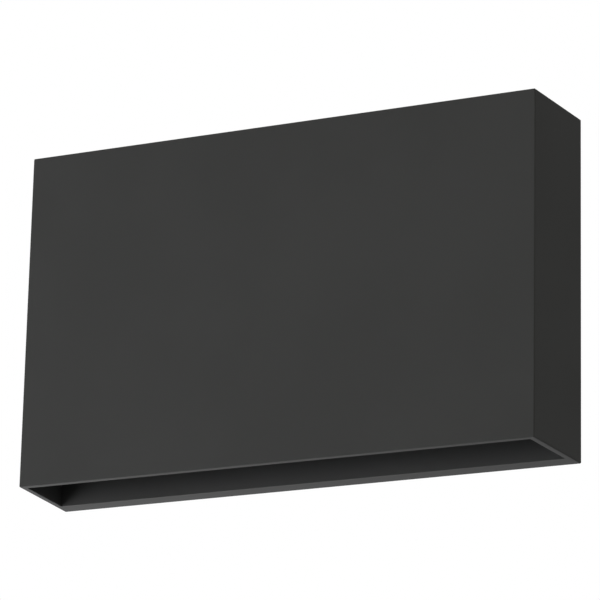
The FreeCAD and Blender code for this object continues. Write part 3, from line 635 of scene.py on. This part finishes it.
class Way(Enum):
    """Which way a turned piece's own +Z points. Each value holds the images of its own X, Y and Z."""

    UP = ((1, 0, 0), (0, 1, 0), (0, 0, 1))
    DOWN = ((1, 0, 0), (0, -1, 0), (0, 0, -1))
    TO_WALL = ((1, 0, 0), (0, 0, -1), (0, 1, 0))
    TO_FRONT = ((1, 0, 0), (0, 0, 1), (0, -1, 0))

    def turn(self, points: np.ndarray) -> np.ndarray:
        """Turn points of the piece's own axes into the model's axes."""
        return points @ np.array(self.value, float)


def middle_of(low: Vector, high: Vector) -> Triple:
    """Give the middle of a box."""
    return tuple((start + end) / 2 for start, end in zip(low, high))


def angle_steps(segments: int) -> np.ndarray:
    """Give evenly spaced angles of one whole turn, in radians."""
    return np.arange(segments) * (2 * math.pi / segments)


def grid_faces(rows: int, columns: int, wrap_rows: bool, wrap_columns: bool) -> np.ndarray:
    """List the quads between neighbours of a grid of points.

    Args:
        rows: Number of rows.
        columns: Number of columns.
        wrap_rows: Whether the last row joins the first.
        wrap_columns: Whether the last column joins the first.

    Returns:
        An array of four point numbers per quad.
    """
    numbers = np.arange(rows * columns).reshape(rows, columns)
    right = np.roll(numbers, -1, axis=1)
    down = np.roll(numbers, -1, axis=0)
    across = np.roll(down, -1, axis=1)
    quads = np.stack([numbers, right, across, down], axis=-1)
    quads = quads[:rows if wrap_rows else rows - 1, :columns if wrap_columns else columns - 1]
    return quads.reshape(-1, 4)


def turned(rings: list[Ring], segments: int) -> np.ndarray:
    """Turn a profile about Z.

    The point of one ring at one angle lies at the ring's radius in that direction, and at the ring's
    height. A radius or height is one number for the whole ring, or one number per angle.

    Args:
        rings: The radius and height of each ring, in order.
        segments: Number of angles.

    Returns:
        A grid of points, ring by ring.
    """
    angles = angle_steps(segments)
    radii, heights = (np.stack([np.broadcast_to(ring[part], segments) for ring in rings]) for part in (0, 1))
    return np.stack([radii * np.cos(angles), radii * np.sin(angles), heights], axis=-1)


def hexagon(circumradius: float, segments: int) -> np.ndarray:
    """Give a hexagon's radius at each angle: its inner radius over the cosine of the angle to a flat."""
    to_flat = np.mod(angle_steps(segments), math.pi / 3) - math.pi / 6
    return circumradius * math.cos(math.pi / 6) / np.cos(to_flat)


def rounded_square(half: float, power: float, segments: int) -> np.ndarray:
    """Work out a rounded square's radius at each angle, as a superellipse.

    The sizes of the angle's cosine and sine are each raised to the power and added. The radius is the
    half side over the sum's root of that power.

    Args:
        half: Half of the square's side.
        power: The power. A higher one gives sharper corners.
        segments: Number of angles.

    Returns:
        One radius per angle.
    """
    angles = angle_steps(segments)
    total = np.abs(np.cos(angles)) ** power + np.abs(np.sin(angles)) ** power
    return half * total ** (-1 / power)


def rounded_corner(centre: tuple[float, float], radius: float, start: float, end: float,
                   steps: int = 6) -> list[Ring]:
    """List an arc's points in a profile: its centre plus its radius at even angles in degrees."""
    angles = np.radians(np.linspace(start, end, steps + 1))
    return list(zip(centre[0] + radius * np.cos(angles), centre[1] + radius * np.sin(angles)))


@dataclass
class Piece:
    """One visible piece made of grids of points."""

    name: str
    slot: str
    body: str = "luminaire"
    replaces: tuple[str, ...] = ()
    points: list[np.ndarray] = field(default_factory=list)
    faces: list[np.ndarray] = field(default_factory=list)

    def add(self, grid: np.ndarray, wrap_rows: bool = False, wrap_columns: bool = True) -> None:
        """Add a grid of points and the quads between them.

        Args:
            grid: Points by row and column.
            wrap_rows: Whether the last row joins the first.
            wrap_columns: Whether the last column joins the first.
        """
        offset = sum(len(points) for points in self.points)
        rows, columns = grid.shape[:2]
        self.points.append(grid.reshape(-1, 3))
        self.faces.append(grid_faces(rows, columns, wrap_rows, wrap_columns) + offset)

    def make(self) -> bpy.types.Object:
        """Make the object, weld its poles, turn its faces outwards and set it on its body.

        Returns:
            The finished object.
        """
        mesh = bpy.data.meshes.new(self.name)
        mesh.from_pydata(np.concatenate(self.points), [], np.concatenate(self.faces).tolist())
        shell = bmesh.new()
        shell.from_mesh(mesh)
        bmesh.ops.remove_doubles(shell, verts=shell.verts, dist=WELD)
        bmesh.ops.dissolve_degenerate(shell, edges=shell.edges, dist=WELD)
        bmesh.ops.recalc_face_normals(shell, faces=shell.faces)
        shell.to_mesh(mesh)
        shell.free()
        mesh.polygons.foreach_set("use_smooth", [True] * len(mesh.polygons))
        mesh.set_sharp_from_angle(angle=SHARP_EDGE)
        mesh.materials.append(material_of(self.slot))
        piece = bpy.data.objects.new(self.name, mesh)
        bpy.context.scene.collection.objects.link(piece)
        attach(piece, self.body)
        if self.replaces:
            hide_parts(*self.replaces)
        return piece


def keep_nodes(**slots: str) -> Pieces:
    """Give nodes of the model their finishes and leave their shapes as they are.

    Args:
        slots: The record's material slot of each node.

    Returns:
        The nodes' objects.
    """
    pieces = [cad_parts[node] for node in slots]
    for piece, slot in zip(pieces, slots.values()):
        piece.data.materials.clear()
        piece.data.materials.append(material_of(slot))
    return pieces


# --- fasteners ---------------------------------------------------------------------------------------

@dataclass(frozen=True)
class ScrewSize:
    """What a screw's nominal size fixes."""

    radius: float
    head_radius: float
    head_height: float
    key_radius: float
    pitch: float


class Size(Enum):
    """The screw sizes of the light."""

    SMALL = ScrewSize(1.5 * MM, 2.75 * MM, 1.6 * MM, 1.15 * MM, 0.5 * MM)
    LARGE = ScrewSize(2.0 * MM, 3.5 * MM, 2.0 * MM, 1.44 * MM, 0.7 * MM)
    HEADLESS = ScrewSize(2.0 * MM, 0.0, 0.0, 1.15 * MM, 0.7 * MM)


@dataclass
class Screw:
    """A socket-head screw that stands on z = 0, with its shank pointing down.

    The thread's depth is in pitches, and the tip's length and radius are in shank radii.
    """

    size: ScrewSize
    length: float
    key_depth: float = 1.1 * MM
    key_point: float = 0.25 * MM
    key_slope: float = 0.05 * MM
    mouth_flare: float = 0.12 * MM
    mouth_depth: float = 0.15 * MM
    edge: float = 0.3 * MM
    foot_bevel: float = 0.1 * MM
    thread_gap: float = 0.02 * MM
    thread_depth: float = 0.55
    rings_per_pitch: int = 6
    tip_length: float = 0.4
    tip_radius: float = 0.7
    segments: int = 36

    def head(self) -> list[Ring]:
        """List the rings from the bottom of the six-sided socket, over the rounded head, to the seat.

        Returns:
            The rings, from the socket's pole to the shank.
        """
        size = self.size
        key = hexagon(size.key_radius, self.segments)
        top, floor = size.head_height, size.head_height - self.key_depth
        socket = [(0.0, floor - self.key_point), (key / 2, floor - self.key_slope), (key, floor),
                  (key, top - self.mouth_depth), (size.key_radius + self.mouth_flare, top)]
        crown = rounded_corner((size.head_radius - self.edge, top - self.edge), self.edge, 90, 0)
        foot = [(size.head_radius, self.foot_bevel), (size.head_radius - self.foot_bevel, 0.0),
                (size.radius, 0.0)]
        return socket + crown + foot

    def thread(self, low: float, high: float) -> list[Ring]:
        """Work out the thread between two heights.

        The radius falls from the crest with the distance from it, which goes from 0 at a crest to 1
        halfway between two, times the thread's depth. The crests climb by one pitch with each turn,
        so the place within a pitch is height over pitch less angle over a whole turn. At both ends
        the thread runs in over one pitch.

        Args:
            low: The lower height.
            high: The upper height.

        Returns:
            The rings from the top.
        """
        pitch = self.size.pitch
        heights = np.linspace(high, low, int((high - low) / pitch * self.rings_per_pitch))
        turns = heights[:, None] / pitch - angle_steps(self.segments)[None, :] / (2 * math.pi)
        from_crest = 1 - np.abs(np.mod(turns, 1.0) - 0.5) * 2
        run_in = np.clip(np.minimum(high - heights, heights - low) / pitch, 0, 1)[:, None]
        radii = self.size.radius - self.thread_depth * pitch * from_crest * run_in
        return list(zip(radii, heights))

    def grid(self) -> np.ndarray:
        """Work out the whole screw as one surface of rings: head, threaded shank and tip.

        Returns:
            A grid of points, closed at both poles.
        """
        radius = self.size.radius
        shank = self.thread(self.tip_length * radius - self.length, -self.thread_gap)
        tip = [(self.tip_radius * radius, -self.length), (0.0, -self.length)]
        return turned(self.head() + shank + tip, self.segments)

    def stand_for(self, node: str, slot: str, way: Way, spots: Spots,
                  body: str = "luminaire") -> bpy.types.Object:
        """Build the screws that stand for one node.

        Args:
            node: The node.
            slot: Its finish.
            way: Which way the heads point.
            spots: The centre of each screw's seat.
            body: The body that they ride on.

        Returns:
            The finished object.
        """
        piece = Piece(node + "_turned", slot, body, (node,))
        shape = way.turn(self.grid())
        for spot in spots:
            piece.add(shape + spot)
        return piece.make()


@dataclass
class SetScrew(Screw):
    """A headless screw. Its top is z = 0."""

    key_depth: float = 2.2 * MM
    mouth_flare: float = 0.1 * MM
    mouth_depth: float = 0.12 * MM

    def head(self) -> list[Ring]:
        """List the rings from the socket's flat floor to the rounded top's edge.

        Returns:
            The rings, from the socket's pole to the shank.
        """
        key = hexagon(self.size.key_radius, self.segments)
        return [(0.0, -self.key_depth), (key, -self.key_depth), (key, -self.mouth_depth),
                (self.size.key_radius + self.mouth_flare, 0.0), (self.size.radius - self.edge, 0.0)]


# --- sub-assemblies ----------------------------------------------------------------------------------

@dataclass
class Casting:
    """The cast body, its seal against the wall and the set screws in its top rim."""

    set_screw_size: ScrewSize = Size.HEADLESS.value

    def build(self) -> Pieces:
        """Finish the casting and its seal, and build the set screws.

        Returns:
            The pieces.
        """
        pieces = keep_nodes(housing="housing_coat", wall_seal="foam_seal")
        for node in ("set_screw_left", "set_screw_right"):
            low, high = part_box(node)
            x, y, _ = middle_of(low, high)
            screw = SetScrew(self.set_screw_size, high.z - low.z)
            pieces.append(screw.stand_for(node, "screw_steel", Way.UP, [(x, y, high.z)], node))
        return pieces


@dataclass
class LightOpening:
    """The ribbed glass, its seal, and the frame with its four screws."""

    rib_pitch: float = 2.4 * MM
    rib_depth: float = 0.4 * MM
    rib_steps: int = 10
    edge: float = 0.5 * MM
    edge_steps: int = 3
    frame_screw: Screw = field(default_factory=lambda: Screw(Size.LARGE.value, 8 * MM))

    def glass(self) -> bpy.types.Object:
        """Build the glass: a rounded bar section carried along X, whose top is pressed into ribs.

        The section is a loop in Y and Z. At each X, the points of its top side sink by the rib's depth
        times half of one less the cosine of the place within the rib.

        Returns:
            The glass.
        """
        low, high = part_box("lens")
        _, middle_y, middle_z = middle_of(low, high)
        section = []
        corners = ((high.y, high.z, 0), (low.y, high.z, 90), (low.y, low.z, 180), (high.y, low.z, 270))
        for y, z, start in corners:
            centre = (y - math.copysign(self.edge, y - middle_y), z - math.copysign(self.edge, z - middle_z))
            section += rounded_corner(centre, self.edge, start, start + 90, self.edge_steps)
        depths, heights = np.array(section).T
        ribs = int((high.x - low.x) / self.rib_pitch)
        places = np.linspace(low.x, high.x, ribs * self.rib_steps + 1)[:, None]
        sink = self.rib_depth * (1 - np.cos(2 * math.pi * (places - low.x) / self.rib_pitch)) / 2
        sunk = heights - sink * (heights > high.z - self.edge)
        bar = np.stack(np.broadcast_arrays(places, depths, sunk), axis=-1)
        ends = [np.broadcast_to((x, middle_y, middle_z), bar[:1].shape) for x in (low.x, high.x)]
        piece = Piece("ribbed_glass", "lens_glass", replaces=("lens",))
        piece.add(np.concatenate([ends[0], bar, ends[1]]))
        return piece.make()

    def build(self) -> Pieces:
        """Build the glass and its screws, and finish the frame and the seal.

        Returns:
            The pieces.
        """
        low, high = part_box("lens_frame_screws")
        inset, seat = self.frame_screw.size.head_radius, low.z + self.frame_screw.size.head_height
        columns, rows = (low.x + inset, high.x - inset), (low.y + inset, high.y - inset)
        spots = [(x, y, seat) for x in columns for y in rows]
        return [self.glass(), *keep_nodes(lens_seal="silicone_seal", lens_frame="frame_coat"),
                self.frame_screw.stand_for("lens_frame_screws", "screw_steel", Way.DOWN, spots)]


@dataclass
class LightEngine:
    """The board with its LED packages, the pad above it and the peened funnel below it."""

    chip_count: int = 12
    chip_half: float = 1.75 * MM
    chip_height: float = 0.8 * MM
    chip_power: float = 9.0
    chip_bevel: float = 0.08 * MM
    chip_top: float = 0.96
    cup_radius: float = 1.4 * MM
    cup_depth: float = 0.3 * MM
    cup_taper: float = 0.92
    gel_taper: float = 0.91
    gel_gap: float = 0.01 * MM
    gel_rise: float = 0.24 * MM
    gel_rings: int = 7
    segments: int = 40
    board_screw: Screw = field(default_factory=lambda: Screw(Size.SMALL.value, 4.8 * MM))

    def spots(self) -> Spots:
        """List the centre of each LED package's foot on the board.

        Returns:
            The spots from left to right.
        """
        low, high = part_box("led_chips")
        _, row, _ = middle_of(low, high)
        along = np.linspace(low.x + self.chip_half, high.x - self.chip_half, self.chip_count)
        return [(x, row, high.z) for x in along]

    def block(self) -> list[Ring]:
        """List the rings of a rounded square block with a round tapered cup.

        Returns:
            The rings, from the foot's pole to the cup's.
        """
        square = rounded_square(self.chip_half, self.chip_power, self.segments)
        top, floor = self.chip_height, self.chip_height - self.cup_depth
        return [(0.0, 0.0), (square, 0.0), (square, top - self.chip_bevel), (self.chip_top * square, top),
                (self.cup_radius, top), (self.cup_taper * self.cup_radius, floor), (0.0, floor)]

    def gel(self) -> list[Ring]:
        """List the rings of the gel: a low dome, whose radius is a cosine and whose height is a sine.

        Returns:
            The rings, from the middle of its flat foot to its top.
        """
        foot = self.chip_height - self.cup_depth + self.gel_gap
        lift = np.linspace(0, math.pi / 2, self.gel_rings)
        radii = self.gel_taper * self.cup_radius * np.cos(lift)
        return [(0.0, foot), *zip(radii, foot + self.gel_rise * np.sin(lift))]

    def packages(self) -> Pieces:
        """Build the LED packages, as one piece of blocks and one of gel.

        Returns:
            The two pieces.
        """
        blocks = Piece("led_blocks", "connector_plastic", replaces=("led_chips",))
        gel = Piece("led_gel", "led_phosphor")
        for piece, rings in ((blocks, self.block()), (gel, self.gel())):
            shape = Way.DOWN.turn(turned(rings, self.segments))
            for spot in self.spots():
                piece.add(shape + spot)
        return [blocks.make(), gel.make()]

    def build(self) -> Pieces:
        """Build the LED packages and the board's screws, and finish the rest.

        Returns:
            The pieces.
        """
        low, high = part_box("led_board_screws")
        inset, seat = self.board_screw.size.head_radius, low.z + self.board_screw.size.head_height
        spots = [(low.x + inset, low.y + inset, seat), (0.0, high.y - inset, seat),
                 (high.x - inset, low.y + inset, seat)]
        kept = keep_nodes(led_board="board_mask", thermal_pad="thermal_pad", reflector="reflector",
                          led_connector="connector_plastic")
        return [*self.packages(), *kept,
                self.board_screw.stand_for("led_board_screws", "screw_steel", Way.DOWN, spots)]


@dataclass
class DriverBay:
    """The driver, the terminal block, the earth lug and the leads between them."""

    tab_screw: Screw = field(default_factory=lambda: Screw(Size.SMALL.value, 6 * MM))
    earth_screw: Screw = field(default_factory=lambda: Screw(Size.LARGE.value, 6 * MM))

    def build(self) -> Pieces:
        """Build the screws and finish the rest.

        Returns:
            The pieces.
        """
        inset, height = self.tab_screw.size.head_radius, self.tab_screw.size.head_height
        low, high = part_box("driver_screws")
        _, _, middle = middle_of(low, high)
        driver_spots = [(x, high.y - height, middle) for x in (low.x + inset, high.x - inset)]
        low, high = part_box("terminal_screws")
        _, middle, _ = middle_of(low, high)
        terminal_spots = [(x, middle, high.z - height) for x in (low.x + inset, high.x - inset)]
        low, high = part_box("earth_screw")
        x, y, _ = middle_of(low, high)
        earth_spot = (x, y, high.z - self.earth_screw.size.head_height)
        kept = keep_nodes(driver="driver_case", terminal_block="terminal_plastic", earth_lug="lug_brass",
                          supply_leads="supply_insulation", led_leads="led_insulation",
                          earth_lead="earth_insulation", lead_grommet="grommet_rubber")
        return [*kept,
                self.tab_screw.stand_for("driver_screws", "screw_steel", Way.TO_WALL, driver_spots),
                self.tab_screw.stand_for("terminal_screws", "screw_steel", Way.UP, terminal_spots),
                self.earth_screw.stand_for("earth_screw", "earth_screw_brass", Way.UP, [earth_spot])]


@dataclass
class CableEntry:
    """The rubber grommet of the supply cable, with two ring grooves in its flange."""

    segments: int = 72
    bore: float = 4.0 * MM
    bore_bevel: float = 0.4 * MM
    bore_step: float = 0.1 * MM
    neck: float = 10.0 * MM
    barb: float = 0.5 * MM
    nose: float = 7.4 * MM
    nose_bevel: tuple[float, float] = (0.4 * MM, 0.2 * MM)
    flange_thick: float = 1.5 * MM
    cover_thick: float = 1.5 * MM
    round_edge: float = 0.5 * MM
    groove_starts: tuple[float, float] = (6.2 * MM, 8.8 * MM)
    groove_slope: float = 0.4 * MM
    groove_floor: float = 1.0 * MM
    groove_depth: float = 0.4 * MM

    def profile(self, flange: float, tip: float, wall: float) -> list[Ring]:
        """List the closed profile: flared bore, grooved flange with a round edge, neck and barbed nose.

        Args:
            flange: The flange's radius.
            tip: The height of the nose's end.
            wall: The height of the flange's outer face.

        Returns:
            The rings, from the bore's inner end round to its start.
        """
        edge, behind = self.round_edge, wall - self.flange_thick
        rings = [(self.bore, tip + self.bore_bevel), (self.bore, wall - edge - self.bore_step)]
        rings += rounded_corner((self.bore + edge, wall - edge), edge, 180, 90, 4)
        for start in self.groove_starts:
            end = start + 2 * self.groove_slope + self.groove_floor
            rings += [(start, wall), (start + self.groove_slope, wall - self.groove_depth),
                      (end - self.groove_slope, wall - self.groove_depth), (end, wall)]
        rings += rounded_corner((flange - edge, wall - edge), edge, 90, 0)
        rings += [(flange, behind), (self.neck, behind), (self.neck, behind - self.cover_thick),
                  (self.neck + self.barb, behind - self.cover_thick)]
        rings += [(self.nose + self.nose_bevel[0], tip + self.nose_bevel[1]), (self.nose, tip),
                  (self.bore + self.bore_bevel, tip)]
        return rings

    def build(self) -> bpy.types.Object:
        """Build the grommet by turning its profile about Y.

        Returns:
            The grommet.
        """
        low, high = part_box("cable_grommet")
        x, _, z = middle_of(low, high)
        rings = self.profile((high.x - low.x) / 2, low.y, high.y)
        piece = Piece("cable_grommet_ringed", "grommet_rubber", replaces=("cable_grommet",))
        piece.add(Way.TO_WALL.turn(turned(rings, self.segments)) + (x, 0, z), wrap_rows=True)
        return piece.make()


@dataclass
class Breather:
    """The vent plug: a neck under a low cap with slots in its rim.

    Each row of the cap's profile is the share of its radius, the fall below its top, and the share of
    the slots' depth that is cut there.
    """

    segments: int = 72
    neck: float = 5.0 * MM
    cap_thick: float = 1.2 * MM
    slots: int = 8
    slot_depth: float = 0.5 * MM
    slot_start: float = 0.5
    slot_flank: float = 3.0
    cap: tuple[Triple, ...] = ((0.0, 0.0, 0), (0.3, 0.0, 0), (0.45, 0.1 * MM, 0), (0.55, 0.1 * MM, 1),
                               (0.8, 0.2 * MM, 1), (0.95, 0.4 * MM, 1), (1.0, 0.65 * MM, 0))

    def build(self) -> bpy.types.Object:
        """Build the breather by turning its profile about Y.

        The slots' share of their depth at each angle comes from a cosine that repeats with the slots:
        what it has over the slot's start, times the flank's steepness, and cut off at 0 and 1.

        Returns:
            The breather.
        """
        low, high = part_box("breather_vent")
        x, _, z = middle_of(low, high)
        radius = (high.x - low.x) / 2
        wave = np.cos(self.slots * angle_steps(self.segments))
        dip = self.slot_depth * np.clip((wave - self.slot_start) * self.slot_flank, 0, 1)
        rings = [(share * radius, high.y - fall - cut * dip) for share, fall, cut in self.cap]
        rings += [(radius, high.y - self.cap_thick), (self.neck, high.y - self.cap_thick),
                  (self.neck, low.y), (0.0, low.y)]
        piece = Piece("breather_cap", "vent_plastic", replaces=("breather_vent",))
        piece.add(Way.TO_WALL.turn(turned(rings, self.segments)) + (x, 0, z))
        return piece.make()


@dataclass
class RearClosure:
    """The rear cover with its seal and ten screws, the cable grommet and the breather."""

    screw_columns: int = 4
    screw_rows: int = 3
    cover_screw: Screw = field(default_factory=lambda: Screw(Size.SMALL.value, 8 * MM))

    def spots(self) -> Spots:
        """List the seats of the cover's screws, in columns and rows round its border.

        Returns:
            The spots.
        """
        low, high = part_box("rear_cover_screws")
        inset, seat = self.cover_screw.size.head_radius, high.y - self.cover_screw.size.head_height
        columns = np.linspace(low.x + inset, high.x - inset, self.screw_columns)
        rows = np.linspace(low.z + inset, high.z - inset, self.screw_rows)
        ends = [(x, seat, z) for z in (rows[0], rows[-1]) for x in columns]
        return ends + [(x, seat, z) for z in rows[1:-1] for x in (columns[0], columns[-1])]

    def build(self) -> Pieces:
        """Build the grommet, the breather and the screws, and finish the cover and its seal.

        Returns:
            The pieces.
        """
        return [CableEntry().build(), Breather().build(),
                *keep_nodes(rear_cover="cover_sheet", cover_seal="silicone_seal"),
                self.cover_screw.stand_for("rear_cover_screws", "screw_steel", Way.TO_WALL, self.spots())]


@dataclass
class WallMount:
    """The slotted bracket on the wall and its earth screw."""

    earth_screw: Screw = field(default_factory=lambda: Screw(Size.LARGE.value, 3.2 * MM))

    def build(self) -> Pieces:
        """Finish the bracket and build its earth screw.

        Returns:
            The pieces.
        """
        low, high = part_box("bracket_earth_screw")
        x, _, z = middle_of(low, high)
        spot = (x, low.y + self.earth_screw.size.head_height, z)
        return [*keep_nodes(wall_bracket="bracket_steel"),
                self.earth_screw.stand_for("bracket_earth_screw", "earth_screw_brass", Way.TO_FRONT, [spot],
                                           "wall_bracket")]


# --- studio ------------------------------------------------------------------------------------------

@dataclass(frozen=True)
class Softbox:
    """A square area lamp that faces the light."""

    name: str
    place: Triple
    size: float
    watts: float
    colour: Triple = WHITE

    def build(self) -> bpy.types.Object:
        """Make the lamp, which itself never shows in the picture.

        Returns:
            The lamp's object.
        """
        lamp = bpy.data.lights.new(self.name, "AREA")
        lamp.size = self.size
        lamp.energy = self.watts
        lamp.color = self.colour
        holder = bpy.data.objects.new(self.name, lamp)
        holder.location = self.place
        holder.visible_camera = False
        holder.rotation_euler = (-Vector(self.place)).to_track_quat("-Z", "Y").to_euler()
        bpy.context.scene.collection.objects.link(holder)
        return holder


@dataclass
class Studio:
    """White surround, pale floor far below, and soft lamps.

    The far lamps at the front light the front and the right side, and the near one brightens the
    front's lower left. The low lamp lights the underside's rims. The last two light the rear and the
    top, which the photograph's view doesn't show.
    """

    world_light: float = 0.25
    floor_drop: float = 2.4
    floor_half: float = 14.0
    floor_shade: Triple = (0.86, 0.86, 0.85)
    floor_glow: float = 0.95
    lamps: tuple[Softbox, ...] = (
        Softbox("front_left_softbox", (-1.6, -2.6, -0.65), 1.6, 44.0, (0.97, 0.975, 1.0)),
        Softbox("near_left_softbox", (-0.45, -0.75, -0.24), 0.35, 2.8, (0.98, 0.985, 1.0)),
        Softbox("front_right_softbox", (1.7, -2.2, 0.4), 1.4, 20.0, (1.0, 0.99, 0.82)),
        Softbox("low_left_softbox", (-0.75, 0.35, -0.7), 0.5, 14.0),
        Softbox("rear_top_softbox", (-1.2, 2.4, 2.2), 2.2, 14.0),
        Softbox("top_softbox", (-0.6, 0.7, 2.3), 1.2, 22.0),
    )

    @staticmethod
    def seen(sheet: NodeSheet) -> Number:
        """Give 1 for rays that show the background: from the camera, off gloss and through glass.

        Args:
            sheet: The tree that asks.

        Returns:
            The mask.
        """
        path = sheet.node("ShaderNodeLightPath")
        camera, glossy, through = (Number(sheet, path.outputs[ray])
                                   for ray in ("Is Camera Ray", "Is Glossy Ray", "Is Transmission Ray"))
        return camera.largest(glossy).largest(through)

    def surround(self) -> None:
        """Make the world: white where it is seen, and dimmer where it lights."""
        world = bpy.data.worlds.new("white_surround")
        bpy.context.scene.world = world
        world.use_nodes = True
        sheet = NodeSheet(world.node_tree)
        strength = self.world_light + (1.0 - self.world_light) * self.seen(sheet)
        background = sheet.node("ShaderNodeBackground", {}, {"Color": WHITE, "Strength": strength})
        sheet.node("ShaderNodeOutputWorld", {}, {"Surface": background.outputs[0]})

    def floor(self) -> bpy.types.Object:
        """Make the floor: pale, and nearly white where it is seen.

        Returns:
            The floor.
        """
        half, z = self.floor_half, -self.floor_drop
        corners = [(-half, -half, z), (half, -half, z), (half, half, z), (-half, half, z)]
        mesh = bpy.data.meshes.new("floor")
        mesh.from_pydata(corners, [], [(0, 1, 2, 3)])
        floor = bpy.data.objects.new("floor", mesh)
        bpy.context.scene.collection.objects.link(floor)
        material = bpy.data.materials.new("floor")
        material.use_nodes = True
        sheet = NodeSheet(material.node_tree)
        matte = sheet.node("ShaderNodeBsdfDiffuse", {}, {"Color": self.floor_shade})
        glow = sheet.node("ShaderNodeEmission", {}, {"Color": WHITE})
        factor, first, second = 0, 1, 2
        mix = sheet.node("ShaderNodeMixShader", {}, {factor: self.floor_glow * self.seen(sheet),
                                                     first: matte.outputs[0], second: glow.outputs[0]})
        sheet.node("ShaderNodeOutputMaterial", {}, {"Surface": mix.outputs[0]})
        mesh.materials.append(material)
        return floor

    def build(self) -> Pieces:
        """Make the surround, the floor and the lamps.

        Returns:
            The floor and the lamps.
        """
        bpy.context.scene.view_settings.view_transform = "Standard"
        self.surround()
        return [self.floor(), *(lamp.build() for lamp in self.lamps)]


@dataclass
class PhotoCamera:
    """The camera at the photograph's place, found by fitting the outline of the model to it."""

    place: Triple = (0.66456, -1.37303, -0.45103)
    aim: Triple = (0.00207, -0.0231, 0.00237)
    roll: float = 1.2946
    lens: float = 216.92
    sensor: float = 36.0

    def build(self) -> Pieces:
        """Make the camera: it looks along its own -Z, and its right side dips by the roll in degrees.

        Returns:
            The camera's object alone.
        """
        camera = bpy.data.cameras.new("photo_camera")
        camera.lens = self.lens
        camera.sensor_width = self.sensor
        holder = bpy.data.objects.new("photo_camera", camera)
        forward = (Vector(self.aim) - Vector(self.place)).normalized()
        level = forward.cross(Vector((0, 0, 1))).normalized()
        right = Matrix.Rotation(math.radians(-self.roll), 3, forward) @ level
        turn = Matrix((right, right.cross(forward), -forward)).transposed()
        holder.matrix_world = Matrix.Translation(self.place) @ turn.to_4x4()
        bpy.context.scene.collection.objects.link(holder)
        bpy.context.scene.camera = holder
        return [holder]


def main() -> None:
    """Build the studio, the camera and every sub-assembly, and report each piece."""
    logging.basicConfig(level=logging.INFO, format="%(name)s %(message)s")
    for assembly in (Studio(), PhotoCamera(), Casting(), LightOpening(), LightEngine(), DriverBay(),
                     RearClosure(), WallMount()):
        for piece in assembly.build():
            log.info("%s: %s", type(assembly).__name__, piece.name)


if __name__ == "__main__":
    main()
